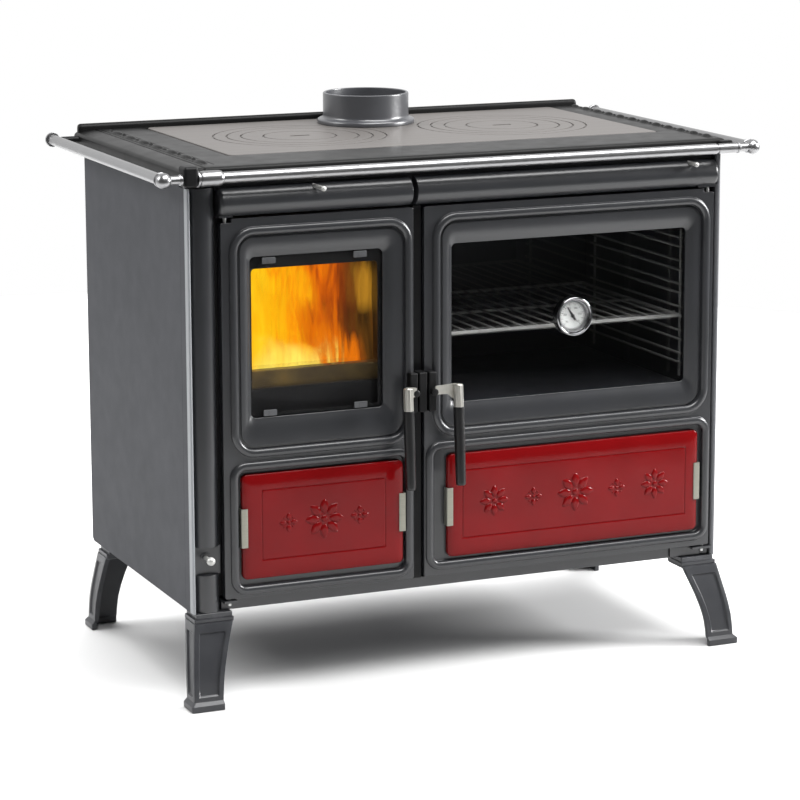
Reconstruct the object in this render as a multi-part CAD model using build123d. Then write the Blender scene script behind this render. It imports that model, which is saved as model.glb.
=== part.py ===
from build123d import *
import os
from math import sin, cos, radians

# Wood cookstove: cast front with two full-height doors, glazed firebox at the
# left, glazed oven at the right, cast hob with rear upstand and flue collar,
# chromed towel rail on three sides, four splayed cast legs.
# Layout axes while drawing: X to the right, Y to the back (0 = face plane of
# the doors), Z up from the floor.  Everything is moved by SHIFT_Y at export so
# that the origin is at the middle of the footprint, on the floor.

# ---------------------------------------------------------------- dimensions
HALF_W = 475.0                   # half width of the casing
SIDE_Y0, SIDE_Y1 = 38.2, 530.0   # side panels, front to back
FLOOR_Z = 139.0                  # underside of the casing
HOB_Z0, HOB_Z = 836.0, 860.0     # hob casting: underside, cooking surface
HOB_HALF = 482.0
HOB_Y0, HOB_Y1 = -3.0, 562.0
LIP_Z = 871.0                    # rear upstand
PLATE_X0, PLATE_X1, PLATE_Y0, PLATE_Y1 = -360.0, 422.0, 120.0, 545.0
FLUE_X, FLUE_Y, FLUE_R, FLUE_BORE_R = 19.0, 458.0, 75.0, 70.0
FLUE_FLANGE_R, FLUE_TOP = 85.0, 914.0
RING_X, RING_DX, RING_Y = 31.0, 189.0, 325.0   # cooking zones, either side of the middle
RING_RADII = (62.0, 100.0, 124.0, 147.0)

DOOR_Z0, DOOR_Z1, DOOR_T = 158.0, 776.0, 16.0
FD_X0, FD_X1 = -421.0, -90.0     # fire door
OD_X0, OD_X1 = -71.5, 462.0      # oven door
FD_AXIS_X, OD_AXIS_X, AXIS_Y = -412.0, 452.0, 6.0
PIN_R, PIN_CLR = 3.0, 0.05

FIRE_WIN = (-370.0, -141.5, 450.5, 711.5)    # x0, x1, z0, z1 of the openings
OVEN_WIN = (-19.0, 413.0, 447.0, 711.0)
FIRE_RIBS = ((-408.0, -92.0, 388.0, 762.0, 42.0), (-411.0, -92.0, 163.0, 382.0, 27.0))
OVEN_RIBS = ((-57.0, 455.0, 392.0, 764.0, 42.0), (-69.5, 459.5, 168.0, 386.0, 27.0))
FIRE_TILE = (-391.0, -110.0, 188.0, 361.0)
OVEN_TILE = (-30.0, 437.0, 188.0, 362.0)
BEAD_W, BEAD_H = 14.0, 6.0
TILE_Y0, TILE_Y1 = -4.5, 6.0

GLASS_Y0, GLASS_T = 9.0, 4.0
SHELL_Y, SHEET = 22.3, 3.0       # front edge and wall of firebox and oven
SEAL_T, SEAL_W = 6.0, 9.0

RAIL_R, RAIL_Y, RAIL_Z = 9.0, -22.0, 845.0
SIDE_RAIL_X, BALL_R, RAIL_BACK_Y = 521.0, 12.5, 572.0

LATCH_Z = 475.0
FH_X, OH_X = -97.5, -64.5        # latch spindles
FSOCK_X, OSOCK_X = -115.0, -26.0 # grip sockets
SPINDLE_R, SPINDLE_CLR = 4.0, 0.05
GRIP_Y, GRIP_TILT, GRIP_LEN = -34.0, 4.0, 130.0

THERMO_X, THERMO_Z, THERMO_R = 198.0, 577.0, 33.0
ROD_R, ROD_CLR = 3.5, 0.05
TOP_ROD_Z = 821.0
AIR_X, DAMPER_X = -262.0, 413.0
PRIM_X, PRIM_Z, PRIM_TRAVEL = -450.0, 229.0, 22.0
AIR_HOLES_Y, AIR_HOLE_R = (110.0, 150.0, 190.0), 8.0

LEG_EXTRA = 9.0                  # the legs reach this far below the drawing's Z = 0
SHIFT_Y = -259.15                # moves the middle of the footprint to Y = 0
SHIFT_Z = LEG_EXTRA              # and the feet to Z = 0

parts = {}


# ------------------------------------------------------------------- helpers
def slab(x0, x1, y0, y1, z0, z1):
    return Pos((x0 + x1) / 2, (y0 + y1) / 2, (z0 + z1) / 2) * Box(x1 - x0, y1 - y0, z1 - z0)


def rod_x(x0, x1, y, z, r):
    return Pos((x0 + x1) / 2, y, z) * Rot(0, 90, 0) * Cylinder(r, x1 - x0)


def rod_y(x, y0, y1, z, r):
    return Pos(x, (y0 + y1) / 2, z) * Rot(90, 0, 0) * Cylinder(r, y1 - y0)


def rod_z(x, y, z0, z1, r):
    return Pos(x, y, (z0 + z1) / 2) * Cylinder(r, z1 - z0)


def xz_plane(x, y, z):
    # local x = +X, local y = +Z, normal = -Y
    return Plane(origin=(x, y, z), x_dir=(1, 0, 0), z_dir=(0, -1, 0))


def rr_face(x0, x1, z0, z1, r, y):
    return xz_plane((x0 + x1) / 2, y, (z0 + z1) / 2) * RectangleRounded(x1 - x0, z1 - z0, r)


def plate_y(x0, x1, z0, z1, r, y0, y1):
    return extrude(rr_face(x0, x1, z0, z1, r, y0), amount=-(y1 - y0))


def ring_y(x0, x1, z0, z1, r, w, y0, y1):
    return plate_y(x0, x1, z0, z1, r, y0, y1) - plate_y(
        x0 + w, x1 - w, z0 + w, z1 - w, max(r - w, 1.0), y0 - 1, y1 + 1)


def edges_at(solid, axis, v, tol=0.01):
    out = []
    for e in solid.edges():
        b = e.bounding_box()
        if abs(getattr(b.min, axis) - v) < tol and abs(getattr(b.max, axis) - v) < tol:
            out.append(e)
    return out


def soften(solid, edges, radii):
    for r in radii:
        try:
            f = fillet(edges, r)
            if f.is_valid:
                return f
        except Exception:
            pass
    return solid


def keep(name, shape):
    parts[name] = shape


# ---------------------------------------------------------------------- legs
def leg(fy):
    # L-section casting: outer corner at (0, 0), wings along -x and -y,
    # splayed towards +x and, by the factor fy, towards +y
    t = 8.0
    levels = [  # z, corner out along x, corner out along y, wing x, wing y
        (-LEG_EXTRA, 22.0, 45.0, 56.0, 43.0),
        (1.5, 22.0, 45.0, 56.0, 43.0),
        (6.0, 16.0, 39.0, 50.0, 38.0),
        (40.0, 14.5, 34.0, 52.0, 40.0),
        (78.0, 9.5, 22.0, 57.0, 43.0),
        (110.0, 4.0, 9.0, 63.0, 46.0),
        (131.0, 0.0, 2.0, 67.0, 49.0),
    ]
    body = None
    for a, b in zip(levels[:-1], levels[1:]):
        secs = []
        for z, ox, oy, wx, wy in (a, b):
            oy = oy * fy
            pts = [(ox, oy), (ox - wx, oy), (ox - wx, oy - t), (ox - t, oy - t),
                   (ox - t, oy - wy), (ox, oy - wy)]
            secs.append(Plane.XY.offset(z) * make_face(Polyline(*pts, close=True)))
        seg = loft(secs, ruled=True)
        body = seg if body is None else body + seg
    body += slab(-67.0, 0.0, -49.0, 0.5, 124.0, 131.0)
    body += slab(-65.0, -4.0, -51.0, -2.0, 130.0, FLOOR_Z)
    return body


def place_leg(sx, front):
    b = leg(1.0 if front else 0.42)
    if front:
        b = mirror(b, about=Plane.XZ)
    if sx < 0:
        b = mirror(b, about=Plane.YZ)
    y = -3.0 if front else 500.0
    b = Pos(sx * HALF_W, y, 0) * b
    return b


LEG_BOLTS = [(sx * (HALF_W - 40.0), y) for sx in (-1, 1) for y in (20.0, 38.0, 458.0, 476.0)]
leg_names = {(-1, True): "leg_front_left", (1, True): "leg_front_right",
             (-1, False): "leg_back_left", (1, False): "leg_back_right"}
for (sx, front), nm in leg_names.items():
    b = place_leg(sx, front)
    for bx, by in LEG_BOLTS:
        b -= rod_z(bx, by, 100, 145, 3.0)
    keep(nm, b)
bolts = None
for bx, by in LEG_BOLTS:
    b = rod_z(bx, by, 120.0, 124.0, 6.5) + rod_z(bx, by, 123.9, 149.0, 3.0)
    bolts = b if bolts is None else bolts + b
keep("leg_bolts", bolts)

# -------------------------------------------------------------------- casing
floor = slab(-471.8, 471.8, 40.2, 523.8, FLOOR_Z, 143)
floor += slab(-423.8, 465.2, 40.0, 45.0, FLOOR_Z, 143)
for bx, by in LEG_BOLTS:
    floor -= rod_z(bx, by, 130, 150, 3.0)
keep("base_plate", floor)


def side_panel(sx):
    pts = [(SIDE_Y0, FLOOR_Z), (522.0, FLOOR_Z), (SIDE_Y1, FLOOR_Z + 5), (SIDE_Y1, 836), (SIDE_Y0, 836)]
    face = make_face(Polyline(*[(sx * HALF_W, y, z) for y, z in pts], close=True))
    return extrude(face, amount=3.0, dir=(-sx, 0, 0))


keep("side_panel_left", side_panel(-1))
keep("side_panel_right", side_panel(1))
keep("back_panel", slab(-471.8, 471.8, 524, 527, 139, 836))

# left column: rounded edge strip, groove, half-round with the air knob recess
col = slab(-475, -424.5, 22, 38, 139, 826)
col += rod_z(-446.9, 22.2, 139, 826, 22.2)
col += slab(-475, -470.2, 5, 38, 139, 826)
col += rod_z(-472.0, 5.0, 139, 826, 3.0)
col &= slab(-475, -424.5, -5, 38, 139, 826)
col -= slab(-468.5, -420.0, -5, 12, 201, 247)
col -= rod_y(PRIM_X, 0, 60, PRIM_Z, ROD_R + ROD_CLR)
for bx, by in LEG_BOLTS:
    col -= rod_z(bx, by, 130, 150, 7.0)
keep("column_left", col)
colr = slab(465.5, 475, 4.5, 38, 139, 836) + rod_z(470.25, 4.7, 139, 836, 4.7)
colr &= slab(465.5, 475, -5, 38, 139, 836)
keep("column_right", colr)

# top beam behind the mouldings, drilled for the two control rods
beam = slab(-475, 465.3, 12.5, 22, 826.2, 835.8)
beam += slab(-424.2, 465.3, 12.5, 22, 778.0, 830)
beam += slab(-424.2, 465.3, 22, 40, 812, 835.8)
beam -= rod_y(AIR_X, 0, 60, TOP_ROD_Z, ROD_R + ROD_CLR)
beam -= rod_y(DAMPER_X, 0, 60, TOP_ROD_Z, ROD_R + ROD_CLR)
keep("front_top_beam", beam)


def moulding(x0, x1):
    # half-round moulding over a door
    half = Ellipse(26.0, 23.8) & (Pos(14.0, 0) * Rectangle(28.0, 60.0))
    pl = Plane(origin=(x0, 12.5, 802.0), x_dir=(0, -1, 0), z_dir=(1, 0, 0))
    return extrude(pl * half, amount=x1 - x0)


ml = moulding(-424.2, -95.0) - slab(-426, -400.5, -20, 13, 770, 782.6)
mr = moulding(-87.0, 465.3) - slab(429.5, 470, -20, 13, 770, 782.6)
ml -= rod_y(AIR_X, -20, 14, TOP_ROD_Z, ROD_R + ROD_CLR)
mr -= rod_y(DAMPER_X, -20, 14, TOP_ROD_Z, ROD_R + ROD_CLR)
keep("top_moulding_left", ml)
keep("top_moulding_right", mr)

sill = slab(-424, 465.2, 11, 22, 139, 156) + slab(-424, 465.2, 21.9, 39.8, 143.2, 150)
for bx, by in LEG_BOLTS:
    sill -= rod_z(bx, by, 130, 152, 7.0)
keep("front_sill", sill)
keep("centre_post", slab(-88.6, -73.4, 7, 60, 156.2, 777.8))
kp = slab(-88.4, -73.6, -19, 7, 441, 507)
keep("latch_keeper", soften(kp, edges_at(kp, "Y", -19), (3, 2, 1)))

# hinge brackets under the moulding and on the sill, and their four pins
br = None
pins = None
for ax, lo, hi in ((FD_AXIS_X, -423.6, -401.0), (OD_AXIS_X, 430.0, 464.6)):
    top = slab(lo, hi, -2, 12.5, 778.6, 782.4)
    bot = slab(lo, hi, -3, 11, 152.2, 156.0)
    if ax > 0:
        bot += slab(lo - 38, hi, 7.5, 11, 141.0, 156.0)
    for b in (top, bot):
        b = b - rod_z(ax, AXIS_Y, 100, 900, PIN_R)
        br = b if br is None else br + b
    for z0, z1 in ((758.0, 782.4), (146.5, 172.0)):
        p = rod_z(ax, AXIS_Y, z0, z1, PIN_R)
        pins = p if pins is None else pins + p
keep("hinge_brackets", br)
keep("hinge_pins", pins)

# ----------------------------------------------------------------------- hob
frame = slab(-HOB_HALF, HOB_HALF, HOB_Y0, HOB_Y1, HOB_Z0, HOB_Z)
frame = soften(frame, edges_at(frame, "Z", HOB_Z), (7, 5, 3))
frame -= slab(PLATE_X0 + 8, PLATE_X1 - 8, PLATE_Y0 + 8, PLATE_Y1 - 8, 800, 900)
frame -= slab(PLATE_X0, PLATE_X1, PLATE_Y0, PLATE_Y1, 846, 900)
lip = slab(-478, 478, 548, 561.5, 852, LIP_Z)
lip = soften(lip, edges_at(lip, "Z", LIP_Z), (4, 3, 2))
frame += lip
keep("hob_frame", frame)

plate = slab(PLATE_X0 + 0.6, PLATE_X1 - 0.6, PLATE_Y0 + 0.6, PLATE_Y1 - 0.6, 846, HOB_Z)
plate = soften(plate, [e for e in plate.edges() if e.bounding_box().size.Z > 10], (12, 8))
plate -= rod_z(FLUE_X, FLUE_Y, 800, 900, 68.5)
for s in (-1, 1):
    for r in RING_RADII:
        plate -= (rod_z(RING_X + s * RING_DX, RING_Y, HOB_Z - 1.5, HOB_Z + 1, r + 1.5)
                  - rod_z(RING_X + s * RING_DX, RING_Y, HOB_Z - 3, HOB_Z + 2, r - 1.5))
    plate = plate.solids().sort_by(SortBy.VOLUME)[-1]
keep("hob_plate", plate)

collar = rod_z(FLUE_X, FLUE_Y, HOB_Z, FLUE_TOP, FLUE_R) + rod_z(FLUE_X, FLUE_Y, HOB_Z, HOB_Z + 9, FLUE_FLANGE_R)
collar = soften(collar, edges_at(collar, "Z", HOB_Z + 9)[:1], (4, 3, 2))
collar = soften(collar, edges_at(collar, "Z", FLUE_TOP), (2, 1))
collar -= rod_z(FLUE_X, FLUE_Y, HOB_Z - 1, FLUE_TOP + 1, FLUE_BORE_R)
collar += rod_z(FLUE_X, FLUE_Y, 846, HOB_Z, 68.0) - rod_z(FLUE_X, FLUE_Y, 840, HOB_Z + 1, 64.0)
collar += rod_z(FLUE_X, FLUE_Y, HOB_Z, HOB_Z + 3, FLUE_FLANGE_R - 2) - rod_z(FLUE_X, FLUE_Y, 850, 900, 64.0)
keep("flue_collar", collar)

# ---------------------------------------------------------------- towel rail
keep("towel_rail_front", rod_x(-467, 452, RAIL_Y, RAIL_Z, RAIL_R))
for s, nm in ((-1, "left"), (1, "right")):
    keep("towel_rail_" + nm, rod_y(s * SIDE_RAIL_X, RAIL_Y + 11.0, RAIL_BACK_Y - 12.0, RAIL_Z, RAIL_R))
brackets = None
for s in (-1, 1):
    if s < 0:
        k = slab(-491.0, -467.0, -34.0, -3.0, 833.0, 866.0)
        k = soften(k, edges_at(k, "Y", -34.0), (6, 4, 2))
    else:
        # at the right a small block holds the end piece of the rail from behind
        k = slab(466.0, 488.0, -16.0, -3.0, 837.0, 857.0)
        k -= rod_x(450.0, 500.0, RAIL_Y, RAIL_Z, 8.4)
    # rear stay of the side rail
    a, b = sorted((s * 482.0, s * (SIDE_RAIL_X - RAIL_R)))
    k2 = rod_x(a, b, 540.0, 846.5, 5.5)
    brackets = k if brackets is None else brackets + k
    brackets += k2
keep("rail_brackets", brackets)
fit = None
for s in (-1, 1):
    bx = s * SIDE_RAIL_X
    ball = Pos(bx, RAIL_Y, RAIL_Z) * Sphere(BALL_R)
    a, b = sorted((s * 491.0, s * (SIDE_RAIL_X - 10.0)))
    ball += rod_x(a, b, RAIL_Y, RAIL_Z, 7.0)
    a, b = sorted((s * 491.0, s * 494.5))
    ball += rod_x(a, b, RAIL_Y, RAIL_Z, 9.0)
    ball -= rod_y(bx, RAIL_Y + 11.0, 0, RAIL_Z, 20.0)
    ring = rod_y(bx, RAIL_Y + 11.0, RAIL_Y + 15.0, RAIL_Z, 12.0) - rod_y(bx, -30, 30, RAIL_Z, RAIL_R)
    end = rod_y(bx, RAIL_BACK_Y - 12.0, RAIL_BACK_Y - 8.0, RAIL_Z, 12.5)
    end += rod_y(bx, RAIL_BACK_Y - 8.0, RAIL_BACK_Y, RAIL_Z, 10.5)
    for piece in (ball, ring, end):
        fit = piece if fit is None else fit + piece
fer = rod_x(-467.0, -424.0, RAIL_Y, RAIL_Z, 12.5) + rod_x(-467.0, -464.0, RAIL_Y, RAIL_Z, 13.2)
fer -= rod_x(-480, -420, RAIL_Y, RAIL_Z, RAIL_R)
fit += fer
fit += rod_x(452.0, 456.0, RAIL_Y, RAIL_Z, 7.0) + rod_x(455.5, 491.5, RAIL_Y, RAIL_Z, 8.4)
keep("rail_fittings", fit)

# ------------------------------------------------------------ firebox inside
shell = slab(-424, -92, SHELL_Y, SHELL_Y + SHEET, 160, 775)
shell -= slab(-396, -124, 0, 60, 426, 722)
shell -= slab(-396, -124, 0, 60, 170, 330)
shell += slab(-424, -421, SHELL_Y, 440, 160, 800)
shell += slab(-95, -92, SHELL_Y, 440, 160, 800)
shell += slab(-424, -92, 437, 440, 160, 800)
shell += slab(-424, -92, SHELL_Y, 440, 160, 163)
shell -= slab(-424.5, -91.5, 20, 41, 775, 801)
for yy in AIR_HOLES_Y:
    shell -= rod_x(-430, -415, yy, PRIM_Z, AIR_HOLE_R)
keep("firebox_shell", shell)
bricks = slab(-420.7, -393, 27, 404.5, 405.2, 700)
bricks += slab(-123, -95.3, 27, 404.5, 405.2, 700)
bricks += slab(-392.5, -123.5, 376, 404.5, 405.2, 700)
bricks += slab(-420.7, -95.3, 405, 436.7, 405.2, 700)
bricks -= slab(-392.5, -123.5, 340, 404.7, 405, 450)
bricks += slab(-392.6, -123.4, 38, 60, 405.2, 520)
keep("firebricks", bricks)
# cast log guard that stands on the grate in front of the front brick
guard = plate_y(-392.6, -123.4, 405.1, 493.0, 5.0, 29.0, 36.0)
guard = soften(guard, edges_at(guard, "Y", 29.0), (1.5, 1.0))
keep("log_guard", guard)
grate = slab(-420.7, -95.3, 26, 436.7, 393, 405)
for i in range(9):
    x = -258.0 + (i - 4) * 22.0
    grate -= slab(x - 4.5, x + 4.5, 110, 330, 380, 420)
grate += slab(-420.7, -395, 26, 436.7, 380, 393) + slab(-121, -95.3, 26, 436.7, 380, 393)
keep("fire_grate", grate)
drawer = slab(-388, -132, 34, 400, 166, 250) - slab(-386, -134, 36, 398, 168, 260)
drawer += slab(-290, -230, 27.5, 34.1, 205, 212) - slab(-284, -236, 31, 34, 200, 220)
keep("ash_drawer", drawer)

# --------------------------------------------------------------- oven inside
oven = slab(-71, 461, SHELL_Y, SHELL_Y + SHEET, 160, 775)
oven -= slab(-46, 437, 0, 60, 434, 724)
oven += slab(-49, 440, SHELL_Y, 427, 431, 727) - slab(-46, 437, 0, 424, 434, 724)
keep("oven_box", oven)
guides = None
for gx, s in ((-41.5, 1), (432.5, -1)):
    g = None
    for gy in (60.0, 380.0):
        p = rod_z(gx, gy, 446, 700, 2.5)
        g = p if g is None else g + p
    for gz in (470.0, 510.0, 550.0, 590.0, 630.0, 670.0):
        g += rod_y(gx + s * 3.0, 52, 388, gz, 2.5)
        g += rod_y(gx + s * 3.0, 52, 388, gz + 16.0, 2.5)
    g += slab(min(gx, gx - s * 4.5), max(gx, gx - s * 4.5), 58, 62, 690, 694)
    guides = g if guides is None else guides + g
keep("oven_rack_guides", guides)
RACK_Z = 555.6
rack = rod_y(-28.0, 40, 400, RACK_Z, 3.0) + rod_y(419.0, 40, 400, RACK_Z, 3.0)
rack += rod_x(-28, 419, 40, RACK_Z, 3.0) + rod_x(-28, 419, 400, RACK_Z, 3.0)
rack += rod_x(-28, 419, 220, RACK_Z - 2.0, 2.5)
for i in range(16):
    rack += rod_y(-28.0 + 447.0 * (i + 1) / 17.0, 40, 400, RACK_Z + 1.0, 1.8)
rack += rod_x(-37.0, -28.0, 70, RACK_Z, 2.5) + rod_x(-37.0, -28.0, 370, RACK_Z, 2.5)
rack += rod_x(419.0, 428.0, 70, RACK_Z, 2.5) + rod_x(419.0, 428.0, 370, RACK_Z, 2.5)
keep("oven_rack", rack)
baffle = slab(-91.5, 471.5, 41, 523.5, 780, 783) - slab(350, 450, 104, 152, 770, 790)
baffle -= slab(-92, -72.8, 40, 61, 770, 790)
keep("smoke_baffle", baffle)


# --------------------------------------------------------------------- doors
def door(x0, x1, ribs, win, tile, axis_x, spindle_x, housing):
    d = plate_y(x0, x1, DOOR_Z0, DOOR_Z1, 4.0, 0.0, DOOR_T)
    d = soften(d, edges_at(d, "Y", 0.0), (1.5, 1.0))
    for rx0, rx1, rz0, rz1, rr in ribs:
        b = ring_y(rx0, rx1, rz0, rz1, rr, BEAD_W, -BEAD_H, 1.0)
        b = soften(b, edges_at(b, "Y", -BEAD_H), (5.4, 4.5, 3.0))
        d += b
    # dished field round the window, with a narrow groove inside the bead
    ux0, ux1, uz0, uz1, ur = ribs[0]
    ix0, ix1, iz0, iz1, ir = ux0 + BEAD_W, ux1 - BEAD_W, uz0 + BEAD_W, uz1 - BEAD_W, ur - BEAD_W
    d -= ring_y(ix0, ix1, iz0, iz1, ir, 4.0, -1.0, 2.5)
    dish = loft([rr_face(ix0 + 4, ix1 - 4, iz0 + 4, iz1 - 4, ir - 4, -0.01),
                 rr_face(win[0] - 3, win[1] + 3, win[2] - 3, win[3] + 3, 10.0, 5.5)])
    d -= dish
    d -= plate_y(win[0], win[1], win[2], win[3], 8.0, -10, 30)
    d -= plate_y(win[0] - 11, win[1] + 11, win[2] - 11, win[3] + 11, 6.0, GLASS_Y0, 30)
    # pocket for the tile
    lx0, lx1, lz0, lz1, lr = ribs[1]
    d -= plate_y(lx0 + BEAD_W, lx1 - BEAD_W, lz0 + BEAD_W, lz1 - BEAD_W, lr - BEAD_W, -10, TILE_Y1)
    # hinge holes and the cut-back corner at the top pin
    s = 1 if axis_x > 0 else -1
    a, b = sorted((axis_x + s * 20.0, axis_x - s * 9.0))
    d -= slab(a, b, -10, 30, 769.5, 790)
    d -= rod_z(axis_x, AXIS_Y, 756.5, 790, PIN_R + PIN_CLR)
    d -= rod_z(axis_x, AXIS_Y, 150, 173.5, PIN_R + PIN_CLR)
    d -= rod_y(spindle_x, -20, 30, LATCH_Z, SPINDLE_R + SPINDLE_CLR)
    d -= slab(housing[0], housing[1], -30, 0, 441, 507)
    return d


def glass(win, hole=None):
    g = plate_y(win[0] - 10, win[1] + 10, win[2] - 10, win[3] + 10, 5.0, GLASS_Y0, GLASS_Y0 + GLASS_T)
    if hole:
        g -= rod_y(hole[0], 0, 30, hole[1], 6.2)
    return g


def latch_housing(x0, x1, spindle_x):
    h = slab(x0, x1, -20, 0, 441, 507)
    h = soften(h, edges_at(h, "Y", -20), (3, 2, 1))
    return h - rod_y(spindle_x, -30, 10, LATCH_Z, SPINDLE_R + SPINDLE_CLR)


def tile_body(t):
    b = plate_y(t[0], t[1], t[2], t[3], 9.0, TILE_Y0, TILE_Y1)
    e = edges_at(b, "Y", TILE_Y0)
    try:
        c = chamfer(e, 4.0, 6.0)
        if c.is_valid:
            return c
    except Exception:
        pass
    return soften(b, e, (4, 3))


def tile_clips(t):
    # sprung steel clips over the left and right edges of a tile
    c = None
    for s, x in ((-1, t[0]), (1, t[1])):
        a, b = sorted((x + s * 3.0, x - s * 8.5))
        k = slab(a, b, TILE_Y0 - 1.6, TILE_Y0 - 0.1, 242, 306)
        a, b = sorted((x + s * 3.0, x + s * 1.2))
        k += slab(a, b, TILE_Y0 - 0.2, TILE_Y1, 242, 306)
        c = k if c is None else c + k
    return c


def lever(spindle_x, sock_x):
    s = 1 if sock_x > spindle_x else -1
    L = rod_y(spindle_x, -29.0, 21.0, LATCH_Z, SPINDLE_R)
    L += rod_y(spindle_x, -30.0, -20.6, LATCH_Z, 6.4)
    cam = rod_y(spindle_x, 17.0, 21.0, LATCH_Z, 7.0)
    cam -= slab(spindle_x - s * 20.0 if s > 0 else spindle_x + 4.6, spindle_x - 4.6 if s > 0 else spindle_x + 20.0, 15, 23, 460, 490)
    L += cam
    z1, z0 = LATCH_Z + 11.0, LATCH_Z - 5.0
    pts = [(spindle_x, z0 + 1), (spindle_x, z1 - 1), (sock_x, z1 + 1), (sock_x, z0 - 9),
           (sock_x - s * 6, z0 - 8), (sock_x - s * 12, z0)]
    arm = make_face(Polyline(*[(px, -30.0, pz) for px, pz in pts], close=True))
    L += extrude(arm, amount=3.6, dir=(0, 1, 0))
    sock = Pos(sock_x, GRIP_Y, 487.0) * Rot(-GRIP_TILT, 0, 0) * Pos(0, 0, -19.0) * Cylinder(8.2, 38.0)
    sock = soften(sock, sock.edges().filter_by(GeomType.CIRCLE).sort_by(Axis.Z)[-1:], (1.5, 1.0))
    L += sock
    grip = Pos(sock_x, GRIP_Y, 487.0) * Rot(-GRIP_TILT, 0, 0) * Pos(0, 0, -38.0 - GRIP_LEN / 2) * Cone(8.2, 9.0, GRIP_LEN)
    grip = soften(grip, grip.edges().filter_by(GeomType.CIRCLE).sort_by(Axis.Z)[:1], (2.5, 1.5))
    return L, grip


fh = (-104.5, -90.8)
oh = (-71.0, -57.5)
keep("fire_door_frame", door(FD_X0, FD_X1, FIRE_RIBS, FIRE_WIN, FIRE_TILE, FD_AXIS_X, FH_X, fh))
keep("fire_door_glass", glass(FIRE_WIN))
keep("fire_door_seal", ring_y(-414, -108, 172, 764, 22, SEAL_W, DOOR_T, DOOR_T + SEAL_T))
clips = None
for cx in (-349.0, -192.0):
    for z in (699.5, 452.5):
        k = slab(cx, cx + 23.0, GLASS_Y0 - 2.2, GLASS_Y0, z, z + 10.0)
        clips = k if clips is None else clips + k
keep("fire_glass_clips", clips)
keep("fire_tile", tile_body(FIRE_TILE))
keep("fire_tile_clips", tile_clips(FIRE_TILE))
keep("fire_latch_housing", latch_housing(fh[0], fh[1], FH_X))
lv, gr = lever(FH_X, FSOCK_X)
keep("fire_handle_lever", lv)
keep("fire_handle_grip", gr)

keep("oven_door_frame", door(OD_X0, OD_X1, OVEN_RIBS, OVEN_WIN, OVEN_TILE, OD_AXIS_X, OH_X, oh))
keep("oven_door_glass", glass(OVEN_WIN, (THERMO_X, THERMO_Z)))
keep("oven_door_seal", ring_y(-54, 446, 400, 764, 22, SEAL_W, DOOR_T, DOOR_T + SEAL_T))
keep("oven_tile", tile_body(OVEN_TILE))
keep("oven_tile_clips", tile_clips(OVEN_TILE))
keep("oven_latch_housing", latch_housing(oh[0], oh[1], OH_X))
lv, gr = lever(OH_X, OSOCK_X)
keep("oven_handle_lever", lv)
keep("oven_handle_grip", gr)

# oven thermometer: case, dial, pointer, lens
case = rod_y(THERMO_X, -10, 8.8, THERMO_Z, THERMO_R)
case = soften(case, edges_at(case, "Y", -10.0), (2.5, 1.5))
case -= rod_y(THERMO_X, -20, 3, THERMO_Z, 27.5)
case -= rod_y(THERMO_X, -20, -6.2, THERMO_Z, 28.5)
case += rod_y(THERMO_X, 8.7, 48, THERMO_Z, 6.0)
case -= rod_y(THERMO_X, 0, 30, THERMO_Z, 1.3)
keep("thermometer_case", case)
dial = rod_y(THERMO_X, 1.4, 3.0, THERMO_Z, 27.3) - rod_y(THERMO_X, 0, 5, THERMO_Z, 1.3)
keep("thermometer_dial", dial)
ptr = rod_y(THERMO_X, -2.2, 0.6, THERMO_Z, 3.2) + rod_y(THERMO_X, -1.0, 20.0, THERMO_Z, 1.25)
tail = make_face(Polyline((-2.2, 0), (-0.7, 21.5), (0.7, 21.5), (2.2, 0), (1.8, -8.5), (-1.8, -8.5), close=True))
needle = extrude(Plane(origin=(THERMO_X, -0.6, THERMO_Z), x_dir=(1, 0, 0), z_dir=(0, -1, 0)) * (Rot(0, 0, 33.0) * tail), amount=1.0)
ptr += needle
keep("thermometer_pointer", ptr)
keep("thermometer_lens", rod_y(THERMO_X, -7.8, -6.2, THERMO_Z, 28.3))

# ------------------------------------------------------------------ controls
air = rod_y(AIR_X, -40, 72, TOP_ROD_Z, ROD_R) + Pos(AIR_X, -41, TOP_ROD_Z) * Sphere(4.3)
air += slab(AIR_X - 28, AIR_X + 28, 69, 72, 804, 835.2)
keep("secondary_air_rod", air)
damp = rod_y(DAMPER_X, -24, 98, TOP_ROD_Z, ROD_R) + Pos(DAMPER_X, -26, TOP_ROD_Z) * Sphere(4.3)
damp += slab(DAMPER_X - 3.5, DAMPER_X + 3.5, 94, 98, 785, 834.9)
damp += slab(345, 455, 94, 158, 783.4, 786.4)
keep("smoke_damper", damp)
prim = rod_y(PRIM_X, -14, 104, PRIM_Z, ROD_R) + Pos(PRIM_X, -15, PRIM_Z) * Sphere(7.0)
prim += slab(PRIM_X - 3, -425.2, 100, 104, 212, 246)
prim += slab(-428.2, -425.2, 98, 228, 214, 244)
for yy in AIR_HOLES_Y:
    prim -= rod_x(-430, -415, yy + PRIM_TRAVEL, PRIM_Z, AIR_HOLE_R)
keep("primary_air_rod", prim)

# -------------------------------------------------------------------- export
os.makedirs("parts", exist_ok=True)
for name, shape in parts.items():
    moved = Pos(0, SHIFT_Y, SHIFT_Z) * shape
    sol = moved.solids()
    out = sol[0] if len(sol) == 1 else Compound(children=list(sol))
    export_step(out, "parts/" + name + ".step")
bb = None
for shape in parts.values():
    b = (Pos(0, SHIFT_Y, SHIFT_Z) * shape).bounding_box()
    bb = b if bb is None else bb.add(b)
print(len(parts), "nodes; box", bb.min, bb.max)
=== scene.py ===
import math
import bpy
import bmesh
from math import sin, cos, pi, radians, sqrt
from mathutils import Vector, Matrix, noise
from mathutils.geometry import delaunay_2d_cdt


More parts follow.
